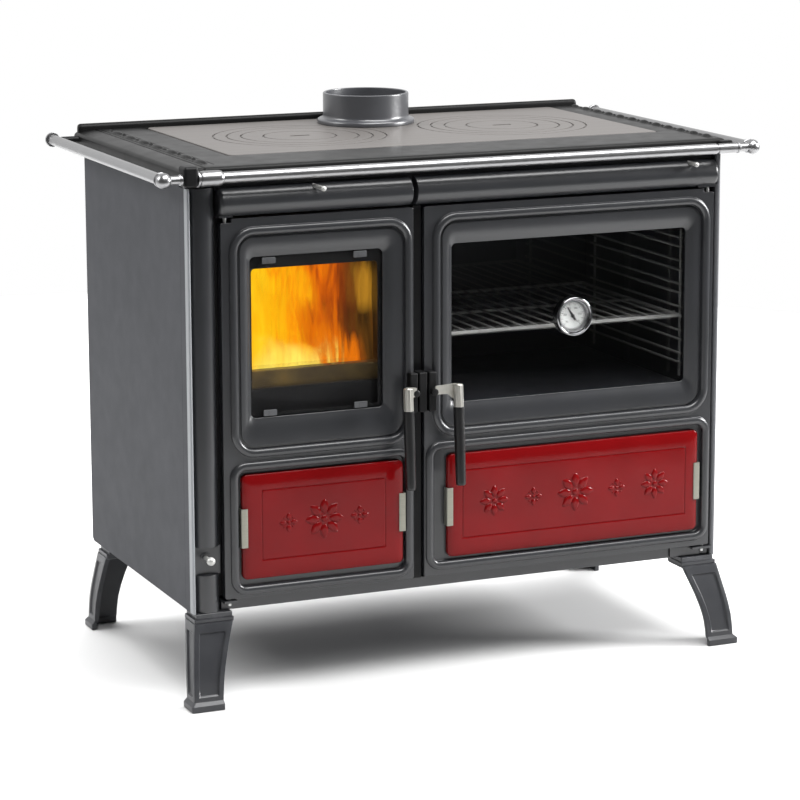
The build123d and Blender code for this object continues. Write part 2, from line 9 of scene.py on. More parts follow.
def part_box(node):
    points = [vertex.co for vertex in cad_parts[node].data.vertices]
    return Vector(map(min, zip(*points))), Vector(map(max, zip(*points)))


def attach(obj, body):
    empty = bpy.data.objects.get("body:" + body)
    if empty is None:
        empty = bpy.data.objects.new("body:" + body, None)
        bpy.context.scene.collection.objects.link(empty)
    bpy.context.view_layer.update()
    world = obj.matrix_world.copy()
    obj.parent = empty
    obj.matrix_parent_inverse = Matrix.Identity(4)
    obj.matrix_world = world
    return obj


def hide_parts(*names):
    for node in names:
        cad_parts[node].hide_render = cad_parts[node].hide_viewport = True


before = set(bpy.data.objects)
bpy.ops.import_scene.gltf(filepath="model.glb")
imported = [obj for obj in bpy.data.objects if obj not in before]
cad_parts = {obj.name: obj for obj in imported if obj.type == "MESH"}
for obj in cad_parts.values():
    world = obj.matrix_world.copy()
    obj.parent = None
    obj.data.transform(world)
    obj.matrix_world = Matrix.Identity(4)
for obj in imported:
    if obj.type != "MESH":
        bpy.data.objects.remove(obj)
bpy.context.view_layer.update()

# The drawing frame is in millimetres: X to the right, Y to the back (0 = face
# plane of the doors), Z up.  OFF moves it to the row frame, in metres.
_lo, _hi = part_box("hob_plate")
OFF = (_lo.x + 0.3594, _lo.y - 0.1206, _lo.z - 0.846)


def D(x, y, z):
    return (x / 1000.0 + OFF[0], y / 1000.0 + OFF[1], z / 1000.0 + OFF[2])


# ------------------------------------------------------------------- camera
def make_camera():
    cam = bpy.data.cameras.new("camera")
    ob = bpy.data.objects.new("camera", cam)
    bpy.context.scene.collection.objects.link(ob)
    yaw, pitch, roll = radians(23.3375), radians(11.0649), radians(-0.1499)
    fw = Vector((sin(yaw), cos(yaw), 0)); rt = Vector((cos(yaw), -sin(yaw), 0)); up = Vector((0, 0, 1))
    fw2 = fw * cos(pitch) - up * sin(pitch); up2 = up * cos(pitch) + fw * sin(pitch)
    rt3 = rt * cos(roll) + up2 * sin(roll); up3 = up2 * cos(roll) - rt * sin(roll)
    m = Matrix((rt3, up3, -fw2)).transposed().to_4x4()
    m.translation = Vector((-2.0348, -4.7104, 1.4841))
    ob.matrix_world = m
    cam.sensor_fit = "HORIZONTAL"
    cam.sensor_width = 36.0
    cam.lens = 136.9
    cam.shift_x, cam.shift_y = 0.0, -0.05
    cam.clip_start, cam.clip_end = 0.1, 60.0
    bpy.context.scene.camera = ob
    return ob


make_camera()


# ---------------------------------------------------------------- materials
class Mat:
    def __init__(self, name):
        self.m = bpy.data.materials.new(name)
        self.m.use_nodes = True
        self.t = self.m.node_tree
        self.b = self.t.nodes["Principled BSDF"]
        self.out = self.t.nodes["Material Output"]
        self.co = self.t.nodes.new("ShaderNodeTexCoord").outputs["Object"]

    def n(self, kind, **props):
        node = self.t.nodes.new(kind)
        for k, v in props.items():
            if k.startswith("i_"):
                node.inputs[k[2:].replace("_", " ")].default_value = v
            else:
                setattr(node, k, v)
        return node

    def link(self, a, b):
        self.t.links.new(a, b)

    def set(self, **kw):
        for k, v in kw.items():
            self.b.inputs[k.replace("_", " ")].default_value = v

    def noise(self, scale, detail=3.0, rough=0.5, stretch=None, distortion=0.0):
        co = self.co
        if stretch:
            mp = self.n("ShaderNodeMapping")
            mp.inputs["Scale"].default_value = stretch
            self.link(self.co, mp.inputs["Vector"])
            co = mp.outputs["Vector"]
        t = self.n("ShaderNodeTexNoise")
        t.inputs["Scale"].default_value = scale
        t.inputs["Detail"].default_value = detail
        t.inputs["Roughness"].default_value = rough
        t.inputs["Distortion"].default_value = distortion
        self.link(co, t.inputs["Vector"])
        return t.outputs["Fac"]

    def ramp(self, fac, stops, interp="LINEAR"):
        r = self.n("ShaderNodeValToRGB")
        cr = r.color_ramp
        cr.interpolation = interp
        while len(cr.elements) < len(stops):
            cr.elements.new(0.5)
        for e, (p, c) in zip(cr.elements, stops):
            e.position = p
            e.color = (*c, 1.0) if len(c) == 3 else c
        self.link(fac, r.inputs["Fac"])
        return r.outputs["Color"]

    def maprange(self, fac, a, b, c, d):
        r = self.n("ShaderNodeMapRange")
        for k, v in (("From Min", a), ("From Max", b), ("To Min", c), ("To Max", d)):
            r.inputs[k].default_value = v
        self.link(fac, r.inputs["Value"])
        return r.outputs["Result"]

    def math(self, op, a, b):
        r = self.n("ShaderNodeMath", operation=op)
        for i, v in enumerate((a, b)):
            if isinstance(v, (int, float)):
                r.inputs[i].default_value = v
            else:
                self.link(v, r.inputs[i])
        return r.outputs[0]

    def mix(self, fac, a, b, kind="MIX"):
        r = self.n("ShaderNodeMix", data_type="RGBA", blend_type=kind)
        for i, v in ((0, fac), (6, a), (7, b)):
            if isinstance(v, (int, float)):
                r.inputs[i].default_value = v
            elif isinstance(v, tuple):
                r.inputs[i].default_value = (*v, 1.0)
            else:
                self.link(v, r.inputs[i])
        return r.outputs[2]

    def bump(self, height, strength=0.2, dist=0.001, normal=None):
        r = self.n("ShaderNodeBump")
        r.inputs["Strength"].default_value = strength
        r.inputs["Distance"].default_value = dist
        self.link(height, r.inputs["Height"])
        if normal is not None:
            self.link(normal, r.inputs["Normal"])
        return r.outputs["Normal"]


def lin(h):
    def c(v):
        v /= 255.0
        return v / 12.92 if v <= 0.04045 else ((v + 0.055) / 1.055) ** 2.4
    return tuple(c(int(h[i:i + 2], 16)) for i in (0, 2, 4))


def cast_mat(name, dark, light, r0, r1, grain=900.0, bump=0.25, wear=0.5, metallic=0.0, spec=0.5):
    m = Mat(name)
    big = m.noise(9.0, 4.0, 0.55)
    fine = m.noise(grain, 2.0, 0.6)
    col = m.ramp(m.maprange(big, 0.3, 0.7, 0.0, 1.0), [(0.0, dark), (1.0, light)])
    speck = m.maprange(fine, 0.35, 0.75, 0.95, 1.05)
    hs = m.n("ShaderNodeHueSaturation")
    m.link(speck, hs.inputs["Value"])
    m.link(col, hs.inputs["Color"])
    col = hs.outputs["Color"]
    if wear > 0:
        g = m.n("ShaderNodeNewGeometry")
        edge = m.maprange(g.outputs["Pointiness"], 0.515, 0.60, 0.0, wear)
        patch = m.maprange(m.noise(60.0, 4.0, 0.6), 0.4, 0.7, 0.0, 1.0)
        col = m.mix(m.math("MULTIPLY", edge, patch), col, tuple(min(1.0, 2.6 * c + 0.01) for c in light))
    m.link(col, m.b.inputs["Base Color"])
    m.link(m.maprange(m.noise(30.0, 3.0, 0.5), 0.3, 0.7, r0, r1), m.b.inputs["Roughness"])
    if bump > 0:
        m.link(m.bump(fine, bump, 0.0001), m.b.inputs["Normal"])
    m.set(Metallic=metallic, Specular_IOR_Level=spec)
    return m.m


def chrome_mat(name, tint=(0.46, 0.46, 0.47), r0=0.16, r1=0.22):
    m = Mat(name)
    m.set(Metallic=1.0)
    m.link(m.ramp(m.noise(30.0, 4.0), [(0.3, tuple(c * 0.93 for c in tint)), (0.7, tint)]), m.b.inputs["Base Color"])
    m.link(m.maprange(m.noise(90.0, 5.0, 0.65), 0.3, 0.75, r0, r1), m.b.inputs["Roughness"])
    return m.m


def brushed_mat(name, base, r0, r1, stretch, metallic=1.0, bump=0.12, dark=0.82, spec=0.5):
    m = Mat(name)
    m.set(Metallic=metallic, Specular_IOR_Level=spec)
    s = m.noise(1.0, 4.0, 0.6, stretch=stretch)
    m.link(m.ramp(s, [(0.3, tuple(c * dark for c in base)), (0.72, base)]), m.b.inputs["Base Color"])
    m.link(m.maprange(s, 0.3, 0.7, r0, r1), m.b.inputs["Roughness"])
    m.link(m.bump(s, bump, 0.0003), m.b.inputs["Normal"])
    return m.m


def tile_mat():
    m = Mat("glazed_red")
    big = m.noise(14.0, 3.0, 0.5)
    col = m.ramp(m.maprange(big, 0.3, 0.7, 0, 1), [(0.0, lin("66080a")), (1.0, lin("700a0d"))])
    tiny = m.maprange(m.noise(700.0, 2.0), 0.62, 0.75, 0.0, 0.35)
    col = m.mix(tiny, col, lin("5a080b"))
    m.link(col, m.b.inputs["Base Color"])
    m.link(m.maprange(m.noise(25.0, 4.0), 0.3, 0.7, 0.10, 0.17), m.b.inputs["Roughness"])
    m.link(m.bump(m.noise(55.0, 2.0), 0.05, 0.002, m.bump(m.noise(260.0, 2.0), 0.03, 0.0006)), m.b.inputs["Normal"])
    m.set(Specular_IOR_Level=0.16)
    return m.m


def brick_mat():
    m = Mat("firebrick")
    big = m.noise(22.0, 5.0, 0.6)
    col = m.ramp(m.maprange(big, 0.3, 0.7, 0, 1), [(0.0, lin("3c2f12")), (0.5, lin("57451c")), (1.0, lin("6b5626"))])
    soot = m.maprange(m.noise(7.0, 4.0, 0.6), 0.42, 0.66, 0.0, 0.75)
    col = m.mix(soot, col, lin("2a221a"))
    m.link(col, m.b.inputs["Base Color"])
    m.set(Roughness=0.95)
    m.link(m.bump(m.noise(160.0, 4.0, 0.7), 0.5, 0.002), m.b.inputs["Normal"])
    return m.m


def glass_mat(name, tint=(0.93, 0.94, 0.94)):
    m = Mat(name)
    m.link(m.ramp(m.noise(5.0, 3.0), [(0.35, tuple(c * 0.985 for c in tint)), (0.65, tint)]), m.b.inputs["Base Color"])
    m.link(m.maprange(m.noise(4.0, 2.0), 0.3, 0.7, 0.0, 0.004), m.b.inputs["Roughness"])
    m.set(Transmission_Weight=1.0, IOR=1.45, Alpha=0.2, Specular_IOR_Level=0.7)
    return m.m


def rope_mat():
    m = Mat("glass_rope")
    w = m.n("ShaderNodeTexWave", wave_type="BANDS", bands_direction="DIAGONAL")
    w.inputs["Scale"].default_value = 90.0
    w.inputs["Distortion"].default_value = 2.0
    m.link(m.co, w.inputs["Vector"])
    m.link(m.ramp(w.outputs["Fac"], [(0.0, (0.05, 0.05, 0.05)), (1.0, (0.16, 0.155, 0.15))]), m.b.inputs["Base Color"])
    m.set(Roughness=0.95)
    m.link(m.bump(w.outputs["Fac"], 0.6, 0.001), m.b.inputs["Normal"])
    return m.m


def flame_mat(name, x0, x1, z0, z1, seed=0.0, gain=1.0, soft=False):
    """Glowing gas: yellow at the left, orange in the middle, dark red at the right, with rising streaks."""
    m = Mat(name)
    sep = m.n("ShaderNodeSeparateXYZ")
    m.link(m.co, sep.inputs[0])
    gx = m.maprange(sep.outputs["X"], D(x0, 0, 0)[0], D(x1, 0, 0)[0], 0.0, 1.0)
    gz = m.maprange(sep.outputs["Z"], D(0, 0, z0)[2], D(0, 0, z1)[2], 0.0, 1.0)

    def streak(scale, rot, loc, detail=4.0, dist=0.6):
        mp = m.n("ShaderNodeMapping")
        mp.inputs["Scale"].default_value = scale
        mp.inputs["Location"].default_value = (loc, loc * 0.7, loc * 1.3)
        mp.inputs["Rotation"].default_value = (0.0, rot, 0.0)
        m.link(m.co, mp.inputs["Vector"])
        t = m.n("ShaderNodeTexNoise")
        for k, v in (("Scale", 1.0), ("Detail", detail), ("Roughness", 0.5), ("Distortion", dist)):
            t.inputs[k].default_value = v
        m.link(mp.outputs["Vector"], t.inputs["Vector"])
        return t.outputs["Fac"]

    a = streak((34.0, 3.0, 6.5), 0.10, seed + 1.0, 5.0, 0.9)
    b = streak((13.0, 3.0, 9.0), -0.15, seed + 5.0)
    c = streak((85.0, 3.0, 9.0), 0.06, seed + 9.0, 5.0, 0.5)
    wx = m.math("ADD", gx, m.maprange(a, 0.30, 0.70, -0.17, 0.17))
    wz = m.math("ADD", gz, m.maprange(b, 0.25, 0.75, -0.20, 0.20))
    col = m.ramp(wx, [(0.0, lin("ffb30f")), (0.10, lin("ffca1c")), (0.23, lin("ffb810")), (0.30, lin("f8920a")), (0.36, lin("ffb010")), (0.46, lin("f2870a")), (0.55, lin("e0680a")),
                      (0.61, lin("b04a0e")), (0.66, lin("7a3410")), (0.80, lin("5e2a10")), (0.90, lin("5c3a12")), (1.0, lin("2a1e0c"))])
    low = m.math("MULTIPLY", m.maprange(wz, 0.32, 0.12, 0.0, 0.9), m.maprange(wx, 0.66, 0.55, 0.0, 1.0))
    col = m.mix(low, col, lin("ffe663"))
    orange = m.math("MULTIPLY", m.maprange(wz, 0.55, 0.30, 0.0, 0.85), m.math("MULTIPLY", m.maprange(wx, 0.55, 0.64, 0.0, 1.0), m.maprange(wx, 0.80, 0.70, 0.0, 1.0)))
    col = m.mix(orange, col, lin("f07a0a"))

    def blob(cx, cz, rx, rz, colr, k, u, v):
        dx = m.math("MULTIPLY", m.math("SUBTRACT", u, cx), 1.0 / rx)
        dz = m.math("MULTIPLY", m.math("SUBTRACT", v, cz), 1.0 / rz)
        d = m.math("ADD", m.math("MULTIPLY", dx, dx), m.math("MULTIPLY", dz, dz))
        return m.mix(m.maprange(d, 1.0, 0.25, 0.0, k), col, lin(colr))

    col = blob(0.93, 0.70, 0.09, 0.24, "c08826", 0.9, m.math("ADD", gx, m.maprange(a, 0.25, 0.75, -0.04, 0.04)), gz)
    col = blob(0.47, 0.50, 0.12, 0.22, "e2700a", 0.75, wx, wz)
    col = blob(0.86, 0.12, 0.05, 0.22, "f47c0c", 0.95, m.math("ADD", gx, m.maprange(b, 0.25, 0.75, -0.03, 0.03)), gz)
    hs = m.n("ShaderNodeHueSaturation")
    m.link(m.maprange(c, 0.30, 0.70, 0.78 * gain, 1.10 * gain), hs.inputs["Value"])
    m.link(col, hs.inputs["Color"])
    m.set(Base_Color=(0.0, 0.0, 0.0, 1.0), Roughness=1.0, Specular_IOR_Level=0.0, Emission_Strength=1.0)
    m.link(hs.outputs["Color"], m.b.inputs["Emission Color"])
    if soft:
        at = m.n("ShaderNodeAttribute", attribute_name="rise")
        e = m.math("ADD", at.outputs["Fac"], m.maprange(c, 0.25, 0.75, -0.22, 0.22))
        m.link(m.maprange(e, 0.42, 0.72, 0.85, 0.0), m.b.inputs["Alpha"])
    return m.m


MAT = {
    "cast": cast_mat("cast_front", lin("262729"), lin("2a2b2e"), 0.29, 0.32, bump=0.0, wear=0.0, spec=0.65),
    "cast_leg": cast_mat("cast_leg", lin("2a2b2e"), lin("323336"), 0.30, 0.38, bump=0.04, wear=0.5, spec=0.45),
    "cast_hob": cast_mat("cast_hob_frame", lin("121212"), lin("181818"), 0.34, 0.40, grain=700.0, bump=0.05, wear=0.0, spec=0.12),
    "collar": cast_mat("cast_collar", lin("38393c"), lin("3e3f43"), 0.29, 0.32, grain=700.0, bump=0.0, wear=0.2, spec=1.0),
    "black": cast_mat("black_iron", lin("0c0c0d"), lin("121213"), 0.40, 0.52, bump=0.05, wear=0.0, spec=0.2),
    "inner": cast_mat("inner_steel", lin("161616"), lin("1e1e1e"), 0.6, 0.8, bump=0.05, wear=0.0, spec=0.3),
    "oven": cast_mat("oven_enamel", lin("212226"), lin("27282c"), 0.30, 0.36, grain=1400.0, bump=0.0, wear=0.0, spec=0.4),
    "casing": cast_mat("casing_paint", lin("3e3f43"), lin("424347"), 0.50, 0.56, grain=1500.0, bump=0.0, wear=0.0, spec=0.10),
    "trim": brushed_mat("edge_trim", lin("8f9295"), 0.40, 0.5, (40.0, 40.0, 900.0), metallic=0.15, bump=0.05, dark=0.93),
    "strip": brushed_mat("corner_strip", lin("5c5d60"), 0.34, 0.46, (40.0, 40.0, 900.0), metallic=0.3, bump=0.05, dark=0.93),
    "hob": brushed_mat("ground_hob", lin("565351"), 0.40, 0.5, (2.5, 260.0, 40.0), metallic=0.12, bump=0.10, dark=0.86, spec=0.2),
    "chrome": chrome_mat("chrome", (0.33, 0.33, 0.335), 0.31, 0.34),
    "chrome_dark": chrome_mat("chrome_case", (0.30, 0.30, 0.31), 0.12, 0.18),
    "rod": brushed_mat("oven_wire", lin("a0a09e"), 0.16, 0.24, (60.0, 60.0, 60.0), metallic=0.35, bump=0.03, dark=0.9),
    "clip_dark": brushed_mat("glass_clip", lin("5e5f61"), 0.34, 0.48, (30.0, 30.0, 700.0), metallic=0.5),
    "clip": brushed_mat("spring_steel", lin("96958a"), 0.32, 0.48, (30.0, 30.0, 700.0), metallic=0.7),
    "lever": brushed_mat("plated_steel", lin("c4c2bb"), 0.30, 0.38, (700.0, 40.0, 40.0), metallic=0.8, bump=0.05, dark=0.9),
    "zinc": brushed_mat("zinc", lin("c9cac8"), 0.30, 0.42, (300.0, 300.0, 60.0)),
    "tile": tile_mat(),
    "brick": brick_mat(),
    "glass": glass_mat("door_glass"),
    "rope": rope_mat(),
    "grip": cast_mat("grip_plastic", lin("0b0b0c"), lin("101011"), 0.30, 0.38, grain=1600.0, bump=0.05, wear=0.0),
    "dial": cast_mat("dial_white", lin("eef0ee"), lin("f6f8f6"), 0.4, 0.5, bump=0.02, wear=0.0),
    "knob": brushed_mat("turned_knob", lin("bdbdba"), 0.30, 0.42, (200.0, 200.0, 200.0), metallic=0.4, bump=0.03, dark=0.92),
    "ink": cast_mat("dial_ink", lin("1b1b1c"), lin("232324"), 0.4, 0.5, bump=0.02, wear=0.0),
}


# ------------------------------------------------------------- mesh helpers
class M:
    def __init__(self):
        self.v, self.f, self.mi = [], [], []

    def add(self, pts):
        i = len(self.v)
        self.v += [tuple(p) for p in pts]
        return list(range(i, len(self.v)))

    def face(self, idx, mi=0):
        self.f.append(tuple(idx))
        self.mi.append(mi)

    def bridge(self, a, b, closed=True, mi=0):
        n = len(a)
        for i in range(n if closed else n - 1):
            j = (i + 1) % n
            self.face((a[i], a[j], b[j], b[i]), mi)

    def skin(self, loops, closed=True, mi=0):
        ids = [self.add(l) if not isinstance(l[0], int) else l for l in loops]
        for a, b in zip(ids[:-1], ids[1:]):
            self.bridge(a, b, closed, mi)
        return ids

    def fill(self, loops, mi=0):
        flat = [i for l in loops for i in l]
        P = [Vector(self.v[i]) for i in flat]
        span = [max(p[k] for p in P) - min(p[k] for p in P) for k in range(3)]
        ax = span.index(min(span))
        a, b = [k for k in range(3) if k != ax]
        edges, o = [], 0
        for l in loops:
            edges += [(o + i, o + (i + 1) % len(l)) for i in range(len(l))]
            o += len(l)
        vs, _, fs, ov, _, _ = delaunay_2d_cdt([Vector((p[a], p[b])) for p in P], edges, [], 1, 1e-5)
        h = P[0][ax]
        ids = []
        for k, c in enumerate(vs):
            if ov[k]:
                ids.append(flat[ov[k][0]])
            else:
                q = [0.0, 0.0, 0.0]
                q[ax], q[a], q[b] = h, c.x, c.y
                ids.append(self.add([q])[0])
        rings = [[(self.v[i][a], self.v[i][b]) for i in l] for l in loops]
        for t in fs:
            x = sum(vs[k].x for k in t) / 3.0
            y = sum(vs[k].y for k in t) / 3.0
            odd = False
            for l in rings:
                for (x1, y1), (x2, y2) in zip(l, l[1:] + l[:1]):
                    if (y1 > y) != (y2 > y) and x < (x2 - x1) * (y - y1) / (y2 - y1) + x1:
                        odd = not odd
            if odd:
                self.face([ids[k] for k in t], mi)

    def solid(self, loops, mi=0):
        """A closed skin over a stack of loops, capped at both ends."""
        ids = self.skin(loops, True, mi)
        self.face(ids[0], mi)
        self.face(ids[-1], mi)
        return ids

    def ring(self, loops, mi=0):
        """A stack of loops closed on itself, such as a lathe of a hollow part."""
        ids = self.skin(loops, True, mi)
        self.bridge(ids[-1], ids[0], True, mi)
        return ids


def make(name, m, mats, body, replaces=(), angle=38.0, weighted=True, raw=False, point_values=None):
    me = bpy.data.meshes.new(name)
    me.from_pydata([D(*p) for p in m.v] if not raw else m.v, [], m.f)
    me.polygons.foreach_set("material_index", m.mi)
    if point_values:
        me.attributes.new(point_values[0], "FLOAT", "POINT").data.foreach_set("value", point_values[1])
    bm = bmesh.new()
    bm.from_mesh(me)
    bmesh.ops.remove_doubles(bm, verts=bm.verts, dist=2e-6)
    bmesh.ops.dissolve_degenerate(bm, dist=1e-7, edges=bm.edges)
    bmesh.ops.recalc_face_normals(bm, faces=bm.faces)
    bm.to_mesh(me)
    bm.free()
    me.validate()
    for p in me.polygons:
        p.use_smooth = True
    me.set_sharp_from_angle(angle=radians(angle))
    for k in ([mats] if isinstance(mats, str) else mats):
        me.materials.append(MAT[k])
    ob = bpy.data.objects.new(name, me)
    bpy.context.scene.collection.objects.link(ob)
    if weighted:
        w = ob.modifiers.new("even_shading", "WEIGHTED_NORMAL")
        w.keep_sharp = True
        w.weight = 70
    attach(ob, body)
    if replaces:
        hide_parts(*([replaces] if isinstance(replaces, str) else replaces))
    return ob


def rr(x0, x1, z0, z1, r, y, n=10):
    r = max(r, 0.02)
    pts = []
    for cx, cz, a0 in ((x1 - r, z1 - r, 0), (x0 + r, z1 - r, 90), (x0 + r, z0 + r, 180), (x1 - r, z0 + r, 270)):
        for i in range(n + 1):
            a = radians(a0 + 90.0 * i / n)
            pts.append((cx + r * cos(a), y, cz + r * sin(a)))
    return pts


def rri(box, inset, y, n=10):
    x0, x1, z0, z1, r = box
    return rr(x0 + inset, x1 - inset, z0 + inset, z1 - inset, r - inset, y, n)


def lerp(a, b, t):
    return a + (b - a) * t


def rpoly(cs, inset=0.0, n=4):
    """Outline with rounded corners from (x, z, r) corners, counterclockwise, drawn in by inset."""
    out, N = [], len(cs)
    for i in range(N):
        p, c, q = cs[i - 1], cs[i], cs[(i + 1) % N]
        d1 = Vector((c[0] - p[0], c[1] - p[1])).normalized()
        d2 = Vector((q[0] - c[0], q[1] - c[1])).normalized()
        n1, n2 = Vector((-d1.y, d1.x)), Vector((-d2.y, d2.x))
        cc = Vector((c[0], c[1])) + (n1 + n2) / (1 + n1.dot(n2)) * inset
        cross = d1.x * d2.y - d1.y * d2.x
        s = 1 if cross > 0 else -1
        r = max(c[2] - s * inset, 0.02)
        turn = math.acos(max(-1, min(1, d1.dot(d2))))
        t = r * math.tan(turn / 2)
        ctr = cc - d1 * t + n1 * r * s
        start = -n1 * s
        for k in range(n + 1):
            a = turn * k / n * s
            v = Vector((start.x * cos(a) - start.y * sin(a), start.x * sin(a) + start.y * cos(a)))
            out.append((ctr.x + v.x * r, ctr.y + v.y * r))
    return out


def xz(pts2, y):
    return [(a, y, b) for a, b in pts2]


def lathe(m, prof, origin, axis, n=64, closed=True, mi=0, start=0.0):
    """prof: (radius, distance along axis) pairs.  axis 'x', 'y' or 'z', or a pair of vectors."""
    ox, oy, oz = origin
    loops = []
    for r, h in prof:
        l = []
        for i in range(n):
            a = 2 * pi * i / n + start
            c, s = r * cos(a), r * sin(a)
            if axis == "x":
                l.append((ox + h, oy + c, oz + s))
            elif axis == "y":
                l.append((ox + c, oy + h, oz + s))
            elif axis == "z":
                l.append((ox + c, oy + s, oz + h))
            else:
                u, v, w = axis
                p = Vector(origin) + u * c + v * s + w * h
                l.append(tuple(p))
        loops.append(l)
    if closed == "ring":
        return m.ring(loops, mi)
    if closed:
        return m.solid(loops, mi)
    return m.skin(loops, True, mi)


def arc(cx, cy, r, a0, a1, n):
    return [(cx + r * cos(radians(lerp(a0, a1, i / n))), cy + r * sin(radians(lerp(a0, a1, i / n)))) for i in range(n + 1)]


def block(m, x0, x1, y0, y1, z0, z1, r=1.0, axis="y", cr=None, n=3, mi=0):
    """A box with rounded edges all round: corner radius cr in the section, edge radius r at its ends."""
    cr = r if cr is None else cr
    def put(l, h):
        if axis == "y":
            return [(a, h, b) for a, b in l]
        if axis == "z":
            return [(a, b, h) for a, b in l]
        return [(h, a, b) for a, b in l]
    if axis == "y":
        cs, h0, h1 = [(x0, z0), (x1, z0), (x1, z1), (x0, z1)], y0, y1
    elif axis == "z":
        cs, h0, h1 = [(x0, y0), (x1, y0), (x1, y1), (x0, y1)], z0, z1
    else:
        cs, h0, h1 = [(y0, z0), (y1, z0), (y1, z1), (y0, z1)], x0, x1
    cs = [(a, b, cr) for a, b in cs]
    loops = []
    for i in range(n + 1):
        a = radians(90.0 * i / n)
        loops.append(put(rpoly(cs, r * (1 - sin(a)), 5), h0 + r * (1 - cos(a))))
    for i in range(n + 1):
        a = radians(90.0 * (n - i) / n)
        loops.append(put(rpoly(cs, r * (1 - sin(a)), 5), h1 - r * (1 - cos(a))))
    m.solid(loops, mi)


def tube(m, pts, r, n=12, mi=0, closed_path=False, twist=0.0, rfun=None):
    """A round tube along points (drawing frame)."""
    P = [Vector(p) for p in pts]
    N = len(P)
    loops = []
    nrm = None
    for i in range(N):
        if closed_path:
            t = (P[(i + 1) % N] - P[i - 1]).normalized()
        else:
            t = (P[min(i + 1, N - 1)] - P[max(i - 1, 0)]).normalized()
        if nrm is None:
            nrm = Vector((0, 0, 1)) if abs(t.z) < 0.9 else Vector((1, 0, 0))
        nrm = (nrm - t * nrm.dot(t)).normalized()
        b = t.cross(nrm)
        rad = rfun(i / (N - 1 if not closed_path else N)) if rfun else r
        loops.append([tuple(P[i] + (nrm * cos(2 * pi * k / n + twist * i) + b * sin(2 * pi * k / n + twist * i)) * rad) for k in range(n)])
    if closed_path:
        m.ring(loops, mi)
    else:
        m.solid(loops, mi)


# -------------------------------------------------------------------- doors
BEAD_W, BEAD_H = 14.0, 6.0
FIRE = dict(out=(-421.0, -90.0), win=(-370.0, -141.5, 450.5, 711.5),
            ribs=((-408.0, -92.0, 388.0, 762.0, 42.0), (-411.0, -92.0, 163.0, 382.0, 27.0)),
            tile=(-391.0, -110.0, 188.0, 361.0), notch=(-403.0, -1))
OVEN = dict(out=(-71.5, 462.0), win=(-19.0, 413.0, 447.0, 711.0),
            ribs=((-57.0, 455.0, 392.0, 764.0, 42.0), (-69.5, 459.5, 168.0, 386.0, 27.0)),
            tile=(-30.0, 437.0, 188.0, 362.0), notch=(443.0, 1))


def bead_loops(box, n=14):
    """Half-round bead from its outer foot to its inner foot."""
    loops = [rri(box, -0.45, 0.0, n), rri(box, -0.08, -0.18, n)]
    K = 12
    for i in range(K + 1):
        a = pi * i / K
        u = BEAD_W / 2 - (BEAD_W / 2 - 0.15) * cos(a)
        h = BEAD_H * (sin(a) ** 0.82)
        loops.append(rri(box, u, -max(h, 0.35), n))
    return loops


def door(name, d, body, node):
    m = M()
    x0, x1 = d["out"]
    nx, side = d["notch"]
    z0, z1 = 158.0, 776.0
    if side < 0:
        cs = [(x0, z0, 4), (x1, z0, 4), (x1, z1, 4), (nx, z1, 1.2), (nx, 769.5, 1.2), (x0, 769.5, 2.5)]
    else:
        cs = [(x0, z0, 4), (x1, z0, 4), (x1, 769.5, 2.5), (nx, 769.5, 1.2), (nx, z1, 1.2), (x0, z1, 4)]
    rim = []
    for inset, y in ((0.8, 16.0), (0.25, 15.75), (0.0, 15.2), (0.0, 1.05), (0.08, 0.62), (0.3, 0.28), (0.62, 0.08), (1.0, 0.0)):
        rim.append(xz(rpoly(cs, inset, 4), y))
    rid = m.skin(rim)
    # upper bead, groove and dished field down to the window
    n = 14
    up = d["ribs"][0]
    loops = bead_loops(up, n)
    loops += [rri(up, 14.1, 2.1, n), rri(up, 14.5, 2.5, n), rri(up, 17.4, 2.5, n), rri(up, 17.9, 2.1, n), rri(up, 18.0, 0.5, n), rri(up, 18.35, 0.1, n), rri(up, 18.9, 0.0, n)]
    A = (up[0] + 18.9, up[1] - 18.9, up[2] + 18.9, up[3] - 18.9, up[4] - 18.9)
    w = d["win"]
    B = (w[0] - 2.2, w[1] + 2.2, w[2] - 2.2, w[3] + 2.2, 10.2)
    K = 12
    for i in range(1, K + 1):
        t = i / K
        y = 1.3 * t + 6.0 * t ** 3
        q = [lerp(A[k], B[k], t) for k in range(4)]
        r = lerp(A[4], B[4], t ** 0.8)
        loops.append(rr(*q, r, y, n))
    for e, y in ((1.3, 7.42), (0.5, 7.75), (0.1, 8.15), (0.0, 8.5), (0.0, 9.0)):
        loops.append(rr(w[0] - e, w[1] + e, w[2] - e, w[3] + e, 8.0 + e, y, n))
    loops.append(rr(w[0] - 11, w[1] + 11, w[2] - 11, w[3] + 11, 6.0, 9.0, n))
    loops.append(rr(w[0] - 11, w[1] + 11, w[2] - 11, w[3] + 11, 6.0, 16.0, n))
    uid = m.skin(loops)
    # lower bead and the pocket behind the tile
    lo = d["ribs"][1]
    loops = bead_loops(lo, n)
    loops += [rri(lo, 14.0, 1.0, n), rri(lo, 14.0, 5.2, n), rri(lo, 14.8, 6.0, n), rri(lo, 20.0, 6.0, n)]
    lid = m.skin(loops)
    m.face(lid[-1])
    m.fill([rid[-1], uid[0], lid[0]])
    m.fill([rid[0], uid[-1]])
    return make(name, m, "cast", body, node, angle=42.0)


door("fire_door_casting", FIRE, "fire_door", "fire_door_frame")
door("oven_door_casting", OVEN, "oven_door", "oven_door_frame")


